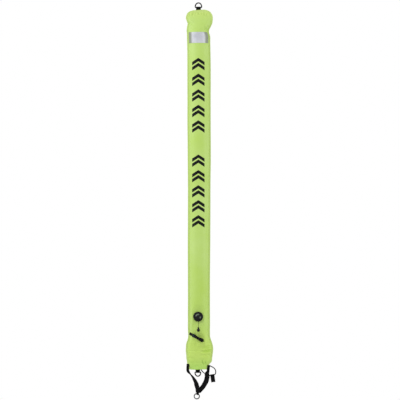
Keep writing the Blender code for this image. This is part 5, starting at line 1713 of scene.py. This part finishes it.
def flap(name, side, node):
    """A flap that arches along the wall at its foot and closes to a narrow slit at its lip."""
    low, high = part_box(node)
    height = high.z - low.z
    rows, columns = FLAP_GRID
    weld_drop = TOP_Z - low.z
    left, right = (float(v) for v in edges_at(np.array(weld_drop)))
    half = (left + right) / 2 - WELD - 4 * GAP
    middle = TUBE_X + (right - left) / 2
    depth = float(depth_at(np.array([weld_drop]), np.array([half]))[0]) - 5 * GAP
    points, uv = [], []
    for i in range(rows):
        rise = i / (rows - 1)
        lip = float(smooth(rise))
        for j in range(columns):
            share = math.sin((j / (columns - 1) - 0.5) * math.pi)
            arch = 2 * GAP + depth * math.sqrt(max(0.0, 1 - share * share))
            ripple = 0.0009 * rise * float(value_noise(83 + side, share * 7 + rise * 1.5, rise * 3))
            edge_room = 1 - share * share
            y = (1 - lip) * arch + lip * (LIP_HALF_GAP + ripple * edge_room)
            x = middle + half * share * (1 - LIP_NARROWING * rise)
            z = low.z + height * rise
            wall = SURFACES[side].ray_cast(Vector((x, 0, z)), Vector((0, side, 0)))[0]
            if wall is not None:
                y = min(y, abs(wall.y) - FLAP_ROOM)
            points.append((x, side * y, z))
            uv.append((half * share, height * rise))
    piece = new_mesh(name, points, grid_faces(rows, columns), flap_material, uv)
    thicken(piece, FLAP, offset=0)
    apply_modifiers(piece)
    return finish(piece, "tube", "baffle_fabric", node)


flap("front_flap", -1, "front_baffle")
flap("rear_flap", 1, "rear_baffle")


# Floor, background and lamps
FLOOR_DROP = 0.05
FLOOR_RADIUS = 0.62
WORLD_LIGHT = 0.72
# Name, place, what it points at, width and height, and power
LAMPS = (
    ("left_box", (-3.8, -1.3, 0.2), (0, 0, -0.95), (2.0, 3.0), 43),
    ("right_box", (3.8, -1.3, -0.6), (0, 0, -0.95), (2.0, 3.0), 40),
    ("top_box", (0.2, -0.4, 2.4), (0, 0, -0.9), (2.0, 2.0), 6),
    ("spark", (-1.7, -2.0, 0.5), (0, 0, -1.5), (0.5, 0.5), 12),
)


def white_background():
    world = bpy.data.worlds.new("studio")
    bpy.context.scene.world = world
    world.use_nodes = True
    nodes = Nodes(world.node_tree)
    background = world.node_tree.nodes["Background"]
    path = nodes.add("ShaderNodeLightPath").outputs
    seen = nodes.math("MAXIMUM", path["Is Camera Ray"], path["Is Glossy Ray"])
    seen = nodes.math("MAXIMUM", seen, path["Is Transmission Ray"])
    nodes.tree.links.new(nodes.ramp(seen, 0.0, 1.0, WORLD_LIGHT, 1.0), background.inputs["Strength"])
    background.inputs["Color"].default_value = (1, 1, 1, 1)


def lamp(name, place, aim, size, power):
    data = bpy.data.lights.new(name, "AREA")
    data.shape = "RECTANGLE"
    data.size, data.size_y = size
    data.energy = power
    light = in_scene(name, data)
    light.location = place
    light.rotation_euler = (Vector(aim) - Vector(place)).to_track_quat("-Z", "Y").to_euler()


def floor():
    """A pale disc under the part that fades out into the white background."""
    bpy.ops.mesh.primitive_circle_add(vertices=96, radius=FLOOR_RADIUS, fill_type="NGON")
    disc = bpy.context.object
    disc.name = "floor"
    disc.location = (0, 0, CAD_BOX[0][2] - FLOOR_DROP)
    material, nodes, shader = new_material("pale_floor", Roughness=0.9)
    place = coordinates(nodes)[0]
    shader.inputs["Base Color"].default_value = (0.86, 0.86, 0.86, 1)
    reach = nodes.add("ShaderNodeVectorMath", {0: place}, operation="LENGTH").outputs["Value"]
    clear = nodes.add("ShaderNodeBsdfTransparent").outputs[0]
    fade = nodes.ramp(reach, 0.35 * FLOOR_RADIUS, 0.98 * FLOOR_RADIUS)
    blend = nodes.add("ShaderNodeMixShader", {0: fade, 1: shader.outputs[0], 2: clear}).outputs[0]
    nodes.tree.links.new(blend, nodes.tree.nodes["Material Output"].inputs["Surface"])
    disc.data.materials.append(material)


white_background()
for row in LAMPS:
    lamp(*row)
floor()
bpy.context.scene.view_settings.view_transform = "Standard"

# CAD nodes that stay as they are, inside the valve and the inflator
for node, material in (
    ("valve_base", plastic_material),
    ("valve_poppet", rubber_material),
    ("inflator_neck", plastic_material),
    ("mouthpiece_poppet", rubber_material),
):
    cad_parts[node].data.materials.clear()
    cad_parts[node].data.materials.append(material)
